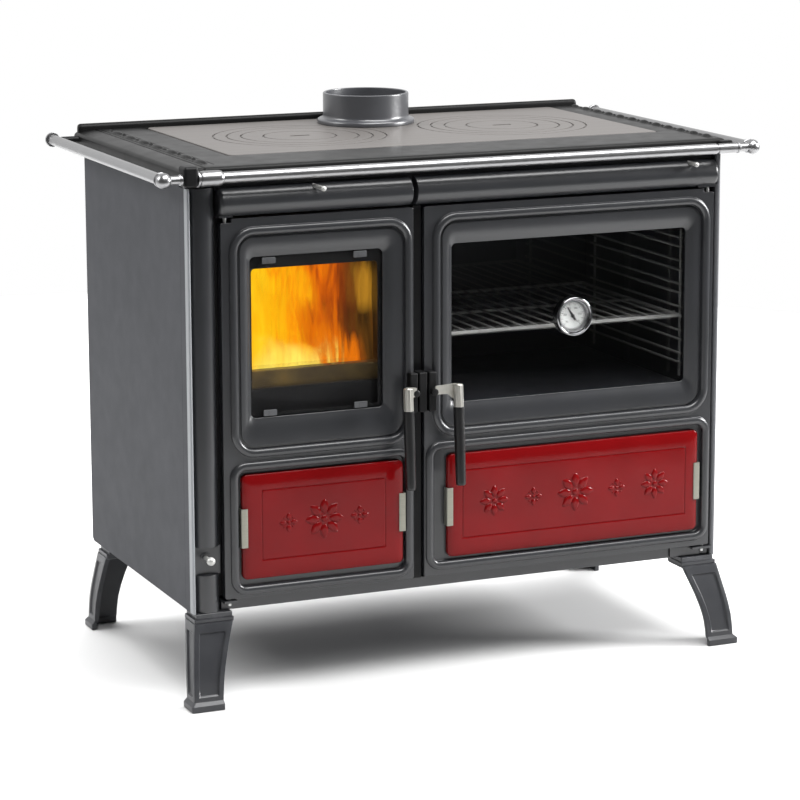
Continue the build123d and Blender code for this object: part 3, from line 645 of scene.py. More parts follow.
# -------------------------------------------------------------------- tiles
def petal(cx, cz, ang, r0, r1, hw, n=22):
    """Outline of a leaf that points away from the middle of the rosette."""
    pts = []
    for i in range(n):
        a = 2 * pi * i / n
        t = 0.5 - 0.5 * cos(a)
        w = hw * sin(a) * (0.72 + 0.28 * sin(pi * t)) * (1.0 - 0.25 * t)
        u = r0 + (r1 - r0) * t
        pts.append((cx + u * cos(ang) - w * sin(ang), cz + u * sin(ang) + w * cos(ang)))
    return pts


def relief(m, outline, y0, h, top=0.35, mi=0):
    """A soft dome over an outline on the tile's face; returns the foot loop."""
    c = [sum(p[0] for p in outline) / len(outline), sum(p[1] for p in outline) / len(outline)]
    ids = [m.add(xz(outline, y0))]
    for k, s in ((0.35, 0.93), (0.68, 0.80), (0.88, 0.60), (1.0, top)):
        ids.append(m.add([(lerp(c[0], a, s), y0 - h * k, lerp(c[1], b, s)) for a, b in outline]))
    for a, b in zip(ids[:-1], ids[1:]):
        m.bridge(a, b, True, mi)
    m.face(ids[-1], mi)
    return ids[0]


def tile(name, t, border, rosettes, body, node):
    m = M()
    n = 8
    y0, y1, w = -4.5, 6.0, 19.0
    loops = [rr(*t, 9.0, y1, n), rr(*t, 9.0, 0.2, n)]
    K = 18
    for i in range(1, K + 1):
        a = radians(90.0 * i / K)
        e = w * (1 - cos(a))
        loops.append(rr(t[0] + e, t[1] - e, t[2] + e, t[3] - e, max(9.0 - e * 0.3, 3.5), 0.2 + (y0 - 0.2) * sin(a) ** 0.8, n))
    e = w + 1.5
    loops.append(rr(t[0] + e, t[1] - e, t[2] + e, t[3] - e, 3.4, y0, n))
    bl, br, bb, bt = t[0] + border[0], t[1] - border[1], t[2] + border[2], t[3] - border[3]
    for e, y in ((-1.9, y0), (-1.2, y0 + 0.12), (-0.5, y0 + 0.75), (0.0, y0 + 0.95), (0.5, y0 + 0.75), (1.2, y0 + 0.12), (1.9, y0)):
        loops.append(rr(bl + e, br - e, bb + e, bt - e, 2.2, y, n))
    ids = m.skin(loops)
    m.face(ids[0])
    holes = []
    for cx, cz, R, k, a0 in rosettes:
        for i in range(k):
            ang = a0 + 2 * pi * i / k
            holes.append(relief(m, petal(cx, cz, ang, R * 0.26, R, R * (0.26 if k > 4 else 0.30)), y0, 1.9))
        holes.append(relief(m, [(cx + R * 0.17 * cos(2 * pi * j / 16), cz + R * 0.17 * sin(2 * pi * j / 16)) for j in range(16)], y0, 1.8, 0.3))
        if k == 4:
            for i in range(k):
                ang = a0 + 2 * pi * (i + 0.5) / k
                px, pz = cx + R * 0.66 * cos(ang), cz + R * 0.66 * sin(ang)
                holes.append(relief(m, [(px + R * 0.09 * cos(2 * pi * j / 12), pz + R * 0.09 * sin(2 * pi * j / 12)) for j in range(12)], y0, 1.2, 0.3))
    m.fill([ids[-1]] + holes)
    return make(name, m, "tile", body, node, angle=32.0)


fx, fz = (-391.0 - 110.0) / 2, 277.0
tile("fire_tile_glazed", FIRE["tile"], (33, 33, 31, 27),
     [(fx, fz, 33.0, 8, 0.0), (fx - 62, fz, 16.0, 4, 0.0), (fx + 62, fz, 16.0, 4, 0.0)], "fire_door", "fire_tile")
ox, oz = (-30.0 + 437.0) / 2, 277.0
tile("oven_tile_glazed", OVEN["tile"], (26, 25, 31, 28),
     [(ox, oz, 33.0, 8, 0.0), (ox - 78, oz, 16.0, 4, 0.0), (ox + 78, oz, 16.0, 4, 0.0),
      (ox - 150, oz, 26.0, 8, 0.0), (ox + 150, oz, 26.0, 8, 0.0)], "oven_door", "oven_tile")


def tile_clips(name, t, body, node):
    m = M()
    for s, x in ((-1, t[0]), (1, t[1])):
        # U-shaped spring: lip over the tile, web beside it, curled end
        prof = [(x + s * 3.0, 6.0), (x + s * 3.0, -5.0), (x + s * 2.2, -5.9), (x + s * 1.0, -6.1), (x - s * 6.5, -6.1), (x - s * 7.6, -5.7), (x - s * 8.4, -4.9),
                (x - s * 7.5, -4.65), (x - s * 6.4, -4.8), (x + s * 0.6, -4.6), (x + s * 1.4, -4.0), (x + s * 1.6, 6.0)]
        loops = []
        for e, z in ((0.4, 242.0), (0.0, 242.6), (0.0, 305.4), (0.4, 306.0)):
            cx = sum(p[0] for p in prof) / len(prof)
            loops.append([(lerp(a, cx, 0.02 * e), b, z) for a, b in prof])
        m.solid(loops)
    return make(name, m, "clip", body, node, angle=30.0)


tile_clips("fire_tile_spring_clips", FIRE["tile"], "fire_door", "fire_tile_clips")
tile_clips("oven_tile_spring_clips", OVEN["tile"], "oven_door", "oven_tile_clips")

m = M()
for cx in (-349.0, -192.0):
    for z in (699.5, 452.5):
        block(m, cx, cx + 23.0, 6.8, 9.0, z, z + 10.0, 0.7, "y", 1.6)
        lathe(m, [(2.6, 6.1), (2.6, 6.7), (0.1, 6.7)][:2] + [(2.6, 6.9)], (cx + 11.5, 0, z + 5.0), "y", 20)
make("fire_glass_clip_set", m, "clip_dark", "fire_door", "fire_glass_clips")


m = M()
gx0, gx1, gz0, gz1 = FIRE["win"][0] - 9.0, FIRE["win"][1] + 9.0, FIRE["win"][2] - 9.0, FIRE["win"][3] + 9.0
hx0, hx1, hz0, hz1 = FIRE["win"][0] + 4.0, FIRE["win"][1] - 7.0, FIRE["win"][2] + 6.0, FIRE["win"][3] - 20.0
m.ring([rr(gx0, gx1, gz0, gz1, 4.0, 13.05), rr(hx0, hx1, hz0, hz1, 6.0, 13.05), rr(hx0, hx1, hz0, hz1, 6.0, 13.25), rr(gx0, gx1, gz0, gz1, 4.0, 13.25)])
make("fire_glass_black_border", m, "black", "fire_door", angle=30.0, weighted=False)


# -------------------------------------------------------------- rope seals
def seal(name, box, body, node):
    m = M()
    c = rri(box, 4.5, 19.0, 24)
    pts = []
    for i in range(len(c)):
        a, b = Vector(c[i]), Vector(c[(i + 1) % len(c)])
        k = max(1, int((b - a).length / 6.0))
        pts += [tuple(a.lerp(b, j / k)) for j in range(k)]
    tube(m, pts, 2.95, 10, closed_path=True)
    return make(name, m, "rope", body, node, angle=80.0, weighted=False)


seal("fire_door_rope", (-414, -108, 172, 764, 22), "fire_door", "fire_door_seal")
seal("oven_door_rope", (-54, 446, 400, 764, 22), "oven_door", "oven_door_seal")


# ------------------------------------------------------------------ latches
def housing(name, x0, x1, body, node):
    m = M()
    block(m, x0, x1, -20, 0, 441, 507, 2.6, "y", 2.6, 4)
    return make(name, m, "black", body, node)


housing("fire_latch_block", -104.5, -90.8, "fire_door", "fire_latch_housing")
housing("oven_latch_block", -71.0, -57.5, "oven_door", "oven_latch_housing")
m = M()
block(m, -88.4, -73.6, -19, 7, 441, 507, 2.4, "y", 2.4, 4)
make("latch_keeper_block", m, "black", "stove", "latch_keeper")


def handle(side, spindle, sock, body):
    s = 1 if sock > spindle else -1
    m = M()
    # spindle with a domed hub at the front and a cam behind the door
    lathe(m, [(0.2, -31.0), (2.6, -30.9), (4.8, -30.5), (6.0, -29.6), (6.4, -28.2), (6.4, -20.8), (4.0, -20.7), (4.0, 17.0), (4.0, 21.0)], (spindle, 0, 475), "y", 40, mi=1)
    cam = [(spindle + s * -4.4, 468.5), (spindle + s * 4.4, 468.5), (spindle + s * 4.4, 481.5), (spindle + s * -4.4, 481.5)]
    if s < 0:
        cam = cam[::-1]
    cs = [(a, b, 1.5) for a, b in (cam if s > 0 else [(spindle - 4.4, 468.5), (spindle + 4.4, 468.5), (spindle + 4.4, 481.5), (spindle - 4.4, 481.5)])]
    m.solid([xz(rpoly(cs, 0.4), 17.0), xz(rpoly(cs), 17.5), xz(rpoly(cs), 20.5), xz(rpoly(cs, 0.4), 21.0)])
    # flat arm that drops to the socket
    z1, z0 = 486.0, 470.0
    pts = [(spindle, z0 + 1, 2.0), (spindle + s * 22.0 if abs(sock - spindle) > 30 else spindle + s * 5.0, z0 + 0.5, 6.0),
           (sock - s * 7.5, z0 - 8.0, 4.0), (sock, z0 - 9.0, 1.0), (sock, z1 + 1, 1.0), (spindle, z1 - 1, 2.0)]
    if s < 0:
        pts = pts[::-1]
    loops = []
    for inset, y in ((0.7, -30.0), (0.2, -29.8), (0.0, -29.3), (0.0, -27.1), (0.2, -26.6), (0.7, -26.4)):
        loops.append(xz(rpoly(pts, inset, 5), y))
    m.solid(loops)
    # socket and grip, tilted 4 degrees
    a = radians(4.0)
    w = Vector((0, sin(a), cos(a)))
    w = Vector((0.0, sin(a), cos(a)))
    u, v = Vector((1, 0, 0)), Vector((0, cos(a), -sin(a)))
    o = (sock, -34.0, 487.0)
    prof = [(0.3, 0.4), (4.0, 0.25), (6.2, -0.3), (7.6, -1.4), (8.2, -3.0), (8.2, -36.6), (7.6, -38.2)]
    loops = []
    for r, h in prof:
        l = []
        for i in range(72):
            an = 2 * pi * i / 72
            rr_ = r - (0.55 if r > 7.9 and -35.5 < h < -3.5 else 0.0)
            flute = 0.5 * abs(sin(an * 6)) if r > 7.4 else 0.0
            q = Vector(o) + u * (rr_ - flute) * cos(an) + v * (rr_ - flute) * sin(an) + w * h
            l.append(tuple(q))
        loops.append(l)
    m.solid(loops)
    make(side + "_handle_lever_plated", m, ["lever", "black"], body, side + "_handle_lever", angle=34.0)
    m = M()
    g = [(7.6, -37.9), (8.7, -38.3), (9.0, -39.4)]
    for i in range(1, 13):
        t = i / 12
        g.append((9.0 - 0.8 * t + 0.25 * sin(pi * t), -39.4 - 123.6 * t))
    g += [(8.0, -165.2), (7.4, -166.8), (6.0, -167.7), (3.6, -168.0), (0.4, -168.0)]
    lathe(m, g, o, (u, v, w), 40)
    make(side + "_handle_grip_turned", m, "grip", body, side + "_handle_grip", angle=40.0)


handle("fire", -97.5, -115.0, "fire_handle")
handle("oven", -64.5, -26.0, "oven_handle")

# -------------------------------------------------------------- thermometer
TX, TZ = 198.0, 577.0
m = M()
prof = [(28.6, -7.6), (28.8, -9.2), (29.6, -9.9), (30.6, -10.0), (31.8, -9.5), (32.6, -8.4), (33.0, -6.9), (33.0, -5.0), (32.5, -4.2), (32.5, -3.0), (33.0, -2.2),
        (33.0, 7.6), (32.3, 8.5), (31.0, 8.8), (7.0, 8.8), (6.0, 9.6), (6.0, 46.8), (5.2, 48.0), (1.4, 48.0), (1.35, 3.0), (27.4, 3.0), (27.5, -6.1), (28.5, -6.2)]
lathe(m, prof, (TX, 0, TZ), "y", 72, "ring")
make("thermometer_case_chromed", m, "chrome_dark", "oven_door", "thermometer_case", angle=40.0)
m = M()
lathe(m, [(27.4, -5.9), (26.6, -6.0), (25.8, -5.6), (22.9, 0.9), (22.9, 1.3), (27.4, 1.3)], (TX, 0, TZ), "y", 72, "ring")
make("thermometer_inner_bezel", m, "chrome_dark", "oven_door", angle=40.0)
m = M()
lathe(m, [(1.4, 1.5), (27.2, 1.5), (27.3, 1.8), (27.3, 2.9), (1.4, 2.9)], (TX, 0, TZ), "y", 72, "ring", mi=0)
for i in range(28):
    a = radians(225.0 - 270.0 * i / 27.0)
    big = i % 3 == 0
    r0, r1, w = (17.4 if big else 19.2), 21.6, (0.42 if big else 0.22)
    c, s = cos(a), sin(a)
    q = [(r0, -w), (r1, -w), (r1, w), (r0, w)]
    l0 = [(TX + r * c - t * s, 1.52, TZ + r * s + t * c) for r, t in q]
    l1 = [(TX + r * c - t * s, 1.36, TZ + r * s + t * c) for r, t in q]
    m.solid([l0, l1], 1)
lathe(m, [(21.8, 1.52), (21.8, 1.38), (22.2, 1.38), (22.2, 1.52)], (TX, 0, TZ), "y", 72, "ring", mi=1)
make("thermometer_dial_printed", m, ["dial", "ink"], "oven_door", "thermometer_dial", angle=20.0, weighted=False)
for i, txt in enumerate(("50", "100", "150", "200", "250", "300")):
    a = radians(225.0 - 54.0 * i)
    cu = bpy.data.curves.new("t", "FONT")
    cu.body = txt
    cu.size = 0.0045
    cu.align_x, cu.align_y = "CENTER", "CENTER"
    cu.extrude = 0.00005
    tmp = bpy.data.objects.new("t", cu)
    bpy.context.scene.collection.objects.link(tmp)
    bpy.context.view_layer.update()
    me = bpy.data.meshes.new_from_object(tmp.evaluated_get(bpy.context.evaluated_depsgraph_get()))
    bpy.data.objects.remove(tmp)
    ctr = D(TX + 13.8 * cos(a), 1.40, TZ + 13.8 * sin(a))
    me.transform(Matrix.Translation(ctr) @ Matrix.Rotation(pi / 2, 4, "X"))
    me.materials.clear()
    me.materials.append(MAT["ink"])
    me.name = "dial_number_" + txt
    ob = bpy.data.objects.new("dial_number_" + txt, me)
    bpy.context.scene.collection.objects.link(ob)
    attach(ob, "oven_door")
m = M()
lathe(m, [(0.2, -2.2), (2.4, -2.1), (3.1, -1.5), (3.2, -0.9), (3.2, 0.4), (1.25, 0.6), (1.25, 20.0), (0.2, 20.0)], (TX, 0, TZ), "y", 32)
a = radians(33.0)
pts = [(-2.2, 0.0), (-1.8, -8.5), (0.0, -9.2), (1.8, -8.5), (2.2, 0.0), (1.3, 10.5), (0.45, 18.6), (-0.45, 18.6), (-1.3, 10.5)]
rot = [(TX + p * cos(a) - q * sin(a), TZ + p * sin(a) + q * cos(a)) for p, q in pts]
m.solid([xz(rot, -0.62), xz(rot, -1.35), xz([(lerp(TX - 7 * sin(a) , x, 0.86), lerp(TZ + 7 * cos(a), z, 0.9)) for x, z in rot], -1.6)])
make("thermometer_needle", m, "ink", "pointer", "thermometer_pointer", angle=30.0)


# ----------------------------------------------------- columns and mouldings
def column_left():
    m = M()
    zb, zk = 139.0, 201.0
    # edge strip with a rounded nose
    nose = []
    for i in range(9):
        a = pi * i / 8
        nose.append((-472.6 - 2.4 * cos(a), 4.6 - 2.6 * sin(a)))
    cs = [(-475.0, 16.8)] + nose + [(-470.2, 16.8)]
    t = M()
    t.solid([[(x, y, z) for x, y in cs] for z in (139.0, 826.0)])
    make("casing_edge_trim", t, "trim", "stove", angle=50.0)
    t = M()
    t.solid([[(x, y, z) for x, y in ((-475.0, 38.0), (-475.0, 17.6), (-474.6, 17.0), (-470.2, 17.0), (-470.2, 38.0))] for z in (139.0, 826.0)])
    make("casing_edge_return", t, "casing", "stove", angle=50.0)
    # back plate behind the roll
    m.solid([[(x, y, z) for x, y in ((-470.2, 38.0), (-470.2, 23.5), (-424.5, 23.5), (-424.5, 38.0))] for z in (139.0, 826.0)])
    # half-round roll in two lengths, below and above the recess, running straight up to the top
    def sec(px, pz, ux, uz, w, dep, yb, K=22):
        # centre (px, pz), across direction (ux, uz), half width w, depth dep, back plane yb
        l = []
        for i in range(K + 1):
            a = pi * i / K
            l.append((px - ux * w * cos(a), yb - dep * sin(a), pz - uz * w * cos(a)))
        l.append((px + ux * w, yb + 2.0, pz + uz * w))
        l.append((px - ux * w, yb + 2.0, pz - uz * w))
        return l
    xc, w0 = -446.9, 22.2
    lo = [sec(xc, z, 1, 0, w0, d, 22.2) for z, d in ((139.0, 21.6), (139.7, 22.2), (200.3, 22.2), (201.0, 21.6))]
    m.solid(lo)
    loops = [sec(xc, z, 1, 0, w0, d, 22.2) for z, d in ((247.0, 21.6), (247.7, 22.2), (500.0, 22.2))]
    loops += [sec(xc, z, 1, 0, w0, d, 22.2) for z, d in ((825.3, 22.2), (826.0, 21.6))]
    m.solid(loops)
    # back wall of the recess with its slotted plate
    m.solid([[(x, y, z) for x, y in ((-468.5, 23.6), (-468.5, 12.2), (-424.5, 12.2), (-424.5, 23.6))] for z in (200.6, 247.4)])
    lathe(m, [(7.6, 11.2), (8.4, 11.5), (8.6, 12.4), (3.7, 12.4), (3.7, 11.2)], (-450.0, 0, 229.0), "y", 32, "ring")
    return make("column_left_cast", m, "cast", "stove", "column_left", angle=42.0)


column_left()
m = M()
nose = [(470.25 - 4.7 * cos(pi * i / 10), 4.7 - 4.7 * sin(pi * i / 10)) for i in range(11)]
cs = nose + [(474.95, 38.0), (465.55, 38.0)]
m.solid([[(x, y, z) for x, y in cs] for z in (139.0, 836.0)])
make("column_right_strip", m, "strip", "stove", "column_right")


def moulding(name, x0, x1, notch, node, round0, round1):
    m = M()
    def sec(x, s, clip=None):
        l = []
        for i in range(29):
            a = -pi / 2 + pi * i / 28
            z = 802.0 + 23.8 * s * sin(a)
            y = 12.5 - 26.0 * (s if s < 1 else 1) * cos(a)
            if clip and z < clip:
                z = clip
            l.append((x, y, z))
        return l
    nx0, nx1 = notch
    c = 782.6
    R = 7.0
    cap0 = [(x0 + R * (1 - cos(radians(a))), 1 - (R / 24.0) * (1 - sin(radians(a)))) for a in (0, 12, 25, 40, 55, 70, 90)]
    cap1 = [(x1 - R * (1 - cos(radians(a))), 1 - (R / 24.0) * (1 - sin(radians(a)))) for a in (90, 70, 55, 40, 25, 12, 0)]
    if round0:
        xs = cap0
    else:
        xs = [(x0, 0.95), (x0 + 0.5, 0.985), (x0 + 1.2, 1.0)]
    if round1:
        xs += cap1
    else:
        xs += [(x1 - 1.2, 1.0), (x1 - 0.5, 0.985), (x1, 0.95)]
    full = []
    lo, hi = (nx0, nx1)
    for q in xs:
        full.append((q[0], q[1], c if lo - 0.01 < q[0] < hi else None))
    edge = hi if lo <= x0 else lo
    full += [(edge - 0.005, 1.0, c if lo <= x0 else None), (edge + 0.005, 1.0, None if lo <= x0 else c)]
    xs = sorted(full, key=lambda q: q[0])
    m.solid([sec(*q) for q in xs])
    return make(name, m, "cast", "stove", node, angle=40.0)


moulding("top_moulding_left_cast", -424.2, -95.0, (-424.2, -400.5), "top_moulding_left", True, False)
moulding("top_moulding_right_cast", -87.0, 465.3, (429.5, 466.0), "top_moulding_right", False, True)


# --------------------------------------------------------------------- legs
def leg(name, sx, front, node):
    m = M()
    fy = 1.0 if front else 0.42
    t = 8.0
    ctrl = [(6.0, 16.0, 39.0, 50.0, 38.0), (22.0, 15.6, 37.4, 50.6, 38.7), (40.0, 14.5, 34.0, 52.0, 40.0), (59.0, 12.4, 28.6, 54.2, 41.3),
            (78.0, 9.5, 22.0, 57.0, 43.0), (94.0, 6.9, 15.4, 60.0, 44.5), (110.0, 4.0, 9.0, 63.0, 46.0), (124.0, 1.2, 4.0, 65.4, 48.0)]

    def at(z):
        if z <= ctrl[0][0]:
            return ctrl[0][1:]
        for a, b in zip(ctrl[:-1], ctrl[1:]):
            if z <= b[0]:
                k = (z - a[0]) / (b[0] - a[0])
                return tuple(lerp(a[j], b[j], k) for j in range(1, 5))
        return ctrl[-1][1:]

    def place(x, y, z):
        yy = -y if front else y
        return (sx * (475.0 + x) if sx > 0 else -(475.0 + x), (-3.0 if front else 500.0) + yy, z)

    def sec(z, ox, oy, wx, wy, d, grow=0.0):
        oy = oy * fy
        b = 8.0
        g = grow
        x0, y0 = ox - wx, oy - wy
        X, Y = ox + g, oy + g
        p = [(x0, oy - t), (x0, Y - 1.4), (x0 + 0.4, Y - 0.4), (x0 + 1.4, Y), (x0 + b, Y), (x0 + b + 2.6, Y - d), (ox - b - 2.6, Y - d), (ox - b, Y), (X - 2.6, Y),
             (X - 0.8, Y - 0.8), (X, Y - 2.6), (X, oy - b), (X - d, oy - b - 2.6), (X - d, y0 + b + 2.6), (X, y0 + b), (X, y0 + 1.4), (X - 0.4, y0 + 0.4), (X - 1.4, y0),
             (ox - t, y0), (ox - t, oy - t)]
        return [place(x, y, z) for x, y in p]

    F = (22.0, 45.0, 56.0, 43.0)
    lv = [(-9.0, *F, 0.0, -0.8), (-8.3, *F, 0.0, -0.1), (-7.6, *F, 0.0, 0.0), (-0.4, *F, 0.0, 0.0), (0.7, *F, 0.0, -0.3), (1.5, *F, 0.0, -1.2),
          (3.0, 19.0, 42.0, 53.0, 40.5, 0.0, 0.0), (6.0, *at(6.0), 0.0, 0.0), (13.0, *at(13.0), 0.0, 0.0), (15.5, *at(15.5), 2.6, 0.0)]
    for z in (30.0, 40.0, 50.0, 59.0, 68.0, 78.0, 86.0, 94.0, 102.0, 108.5):
        lv.append((z, *at(z), 2.6, 0.0))
    lv += [(111.0, *at(111.0), 0.0, 0.0), (118.0, *at(118.0), 0.0, 0.0), (124.5, *at(124.0), 0.0, 0.0)]
    m.solid([sec(*q) for q in lv])
    # flange under the casing, with a cove below it
    def flange(e, z, r=2.0):
        cs = [(-67.0 + e, -49.0 + e), (0.0 - e, -49.0 + e), (0.0 - e, 0.5 - e), (-67.0 + e, 0.5 - e)]
        return [place(x, y, z) for x, y in rpoly([(a, b, r) for a, b in cs], 0.0, 4)]
    m.solid([flange(2.4, 121.5), flange(0.9, 122.6), flange(0.2, 124.2), flange(0.0, 125.4), flange(0.0, 130.0), flange(0.4, 131.0)])
    cs = [(-65.0, -51.0), (-4.0, -51.0), (-4.0, -2.0), (-65.0, -2.0)]
    m.solid([[place(x, y, z) for x, y in rpoly([(a, b, 1.5) for a, b in cs], e, 3)] for z, e in ((130.0, 0.0), (138.5, 0.0), (139.0, 0.5))])
    return make(name, m, "cast_leg", "stove", node, angle=30.0)


leg("leg_front_left_cast", -1, True, "leg_front_left")
leg("leg_front_right_cast", 1, True, "leg_front_right")
leg("leg_back_left_cast", -1, False, "leg_back_left")
leg("leg_back_right_cast", 1, False, "leg_back_right")


# ---------------------------------------------------------------------- hob
PX0, PX1, PY0, PY1 = -360.0, 422.0, 120.0, 545.0


def hob_height(x, y):
    z = 860.0
    ul, ur, uf = x + 482.0, 482.0 - x, y + 3.0
    # broad roll along the left side, narrower at the right
    for u, width, drop in ((ul, 38.0, 5.0), (ur, 12.0, 1.6), (uf, 16.0, 1.6)):
        if u < width:
            k = 1 - u / width
            z -= drop * k * k
    r = 5.5
    e = min(ul, ur, uf)
    if e < r:
        z -= r - sqrt(max(r * r - (r - e) ** 2, 0.0))
    # rows of long and round beads either side of the plate
    for cx, pitch, y0, y1, rx, ry in ((-430.0, 70.0, 60.0, 510.0, 6.5, 23.0), (463.0, 45.0, 30.0, 520.0, 5.5, 14.0)):
        dx = x - cx
        if abs(dx) < 13 and y0 - pitch / 2 < y < y1 + pitch / 2:
            k = round((y - y0) / pitch)
            for kk, sx_, sy_, h, off in ((k, rx, ry, 4.4, 0.0), (k, rx * 0.62, rx * 0.62, 3.2, pitch / 2), (k - 1, rx * 0.62, rx * 0.62, 3.2, pitch / 2)):
                yc = y0 + kk * pitch + off
                if yc < y0 - 1 or yc > y1 + pitch / 2 + 1:
                    continue
                q = (dx / sx_) ** 2 + ((y - yc) / sy_) ** 2
                if q < 1:
                    z += h * sqrt(1 - q)
            if abs(dx) > rx + 1.5 and abs(dx) < rx + 4.5:
                z -= 2.2 * cos((abs(dx) - rx - 3.0) / 1.5 * pi / 2)
    # narrow groove between the flat field and the broad roll
    for cx in (-447.0,):
        q = abs(x - cx)
        if q < 2.5:
            z -= 2.4 * cos(q / 2.5 * pi / 2)
    return z


def hob_frame():
    m = M()
    def span(a, b, step):
        k = max(1, int(round((b - a) / step)))
        return [lerp(a, b, i / k) for i in range(k)]
    xs = [-482.0, -481.7, -481.0, -480.0, -478.6, -477.0] + span(-475.0, -450.0, 5.0) + span(-450.0, -417.0, 1.4) + span(-417.0, PX0, 14.0)
    nl = len(xs)
    xs += [PX0, PX0 + 1.4] + span(PX0 + 8, PX1 - 8, 60.0) + [PX1 - 8, PX1 - 1.4, PX1]
    xs += span(PX1 + 8, 450.0, 9.0) + span(450.0, 475.5, 1.4) + [476.5, 478.0, 479.4, 480.6, 481.4, 481.8, 482.0]
    ys = [-3.0, -2.8, -2.2, -1.4, -0.4, 1.0, 2.5] + span(5.0, 30.0, 6.0) + span(30.0, 115.0, 4.0) + [118.6, PY0] + span(PY0 + 4, PY1 - 8, 4.0) + [PY1 - 8, PY1 - 1.4, PY1, 548.0, 562.0]
    ys = sorted(set(round(v, 4) for v in ys))
    xs = sorted(set(round(v, 4) for v in xs))
    inner = lambda x, y: PX0 <= x <= PX1 and PY0 <= y <= PY1
    top, bot = {}, {}
    for i, x in enumerate(xs):
        for j, y in enumerate(ys):
            z = hob_height(x, y)
            # small bevel round the plate's seat
            if PX0 - 1.5 < x < PX1 + 1.5 and PY0 - 1.5 < y < PY1 + 1.5 and not (PX0 < x < PX1 and PY0 < y < PY1):
                on = (x in (PX0, PX1) and PY0 <= y <= PY1) or (y in (PY0, PY1) and PX0 <= x <= PX1)
                if on:
                    z = 858.6
            top[i, j] = m.add([(x, y, z)])[0]
            bot[i, j] = m.add([(x, y, 836.0)])[0]
    def hole(i, j):
        xm, ym = (xs[i] + xs[i + 1]) / 2, (ys[j] + ys[j + 1]) / 2
        return PX0 < xm < PX1 and PY0 < ym < PY1
    NX, NY = len(xs), len(ys)
    for i in range(NX - 1):
        for j in range(NY - 1):
            if not hole(i, j):
                m.face((top[i, j], top[i + 1, j], top[i + 1, j + 1], top[i, j + 1]))
                m.face((bot[i, j], bot[i, j + 1], bot[i + 1, j + 1], bot[i + 1, j]))
    for i in range(NX - 1):
        for j in (0, NY - 1):
            m.face((top[i, j], top[i + 1, j], bot[i + 1, j], bot[i, j]))
    for j in range(NY - 1):
        for i in (0, NX - 1):
            m.face((top[i, j], top[i, j + 1], bot[i, j + 1], bot[i, j]))
    i0, i1 = xs.index(PX0), xs.index(PX1)
    j0, j1 = ys.index(PY0), ys.index(PY1)
    # the seat: wall down to 846, then in 8 mm, then down through the casting
    for a, b in [((i0, j), (i0, j + 1)) for j in range(j0, j1)] + [((i1, j), (i1, j + 1)) for j in range(j0, j1)] + \
                [((i, j0), (i + 1, j0)) for i in range(i0, i1)] + [((i, j1), (i + 1, j1)) for i in range(i0, i1)]:
        m.face((top[a], top[b], bot[b], bot[a]))
    make("hob_frame_cast", m, "cast_hob", "stove", "hob_frame", angle=50.0)
    # the ledge that carries the plate
    m = M()
    loops = []
    for (x0, x1, y0, y1), z in (((PX0 + .02, PX1 - .02, PY0 + .02, PY1 - .02), 846.0), ((PX0 + .02, PX1 - .02, PY0 + .02, PY1 - .02), 836.0),
                                ((PX0 + 8, PX1 - 8, PY0 + 8, PY1 - 8), 836.0), ((PX0 + 8, PX1 - 8, PY0 + 8, PY1 - 8), 845.4), ((PX0 + 8.6, PX1 - 8.6, PY0 + 8.6, PY1 - 8.6), 846.0)):
        loops.append([(a, b, z) for a, b in rpoly([(x0, y0, 1.0), (x1, y0, 1.0), (x1, y1, 1.0), (x0, y1, 1.0)], 0.0, 2)])
    m.ring([loops[0], loops[1], loops[2], loops[3]])
    make("hob_plate_ledge", m, "cast_hob", "stove")
    # rear upstand with rounded ends and top
    m = M()
    loops = []
    for i in range(13):
        a = pi * i / 12
        y = 554.75 - 6.75 * cos(a)
        h = 864.2 + 6.8 * sin(a)
        loops.append((y, h))
    prof = [(548.0, 846.0)] + loops + [(561.5, 846.0)]
    def sec(x, k):
        cy = 554.75
        return [(x, lerp(cy, y, k), 846.0 + (z - 846.0) * (1 - (1 - k) * 0.35)) for y, z in prof]
    m.solid([sec(-478.0, 0.45), sec(-477.2, 0.72), (sec(-475.6, 0.90)), sec(-473.4, 0.98), sec(-470.5, 1.0), sec(470.5, 1.0), sec(473.4, 0.98), sec(475.6, 0.90), sec(477.2, 0.72), sec(478.0, 0.45)])
    make("hob_rear_upstand", m, "cast_hob", "stove", angle=50.0)


hob_frame()
FX, FY = 19.0, 458.0
RC, RX, RY = 31.0, 189.0, 325.0


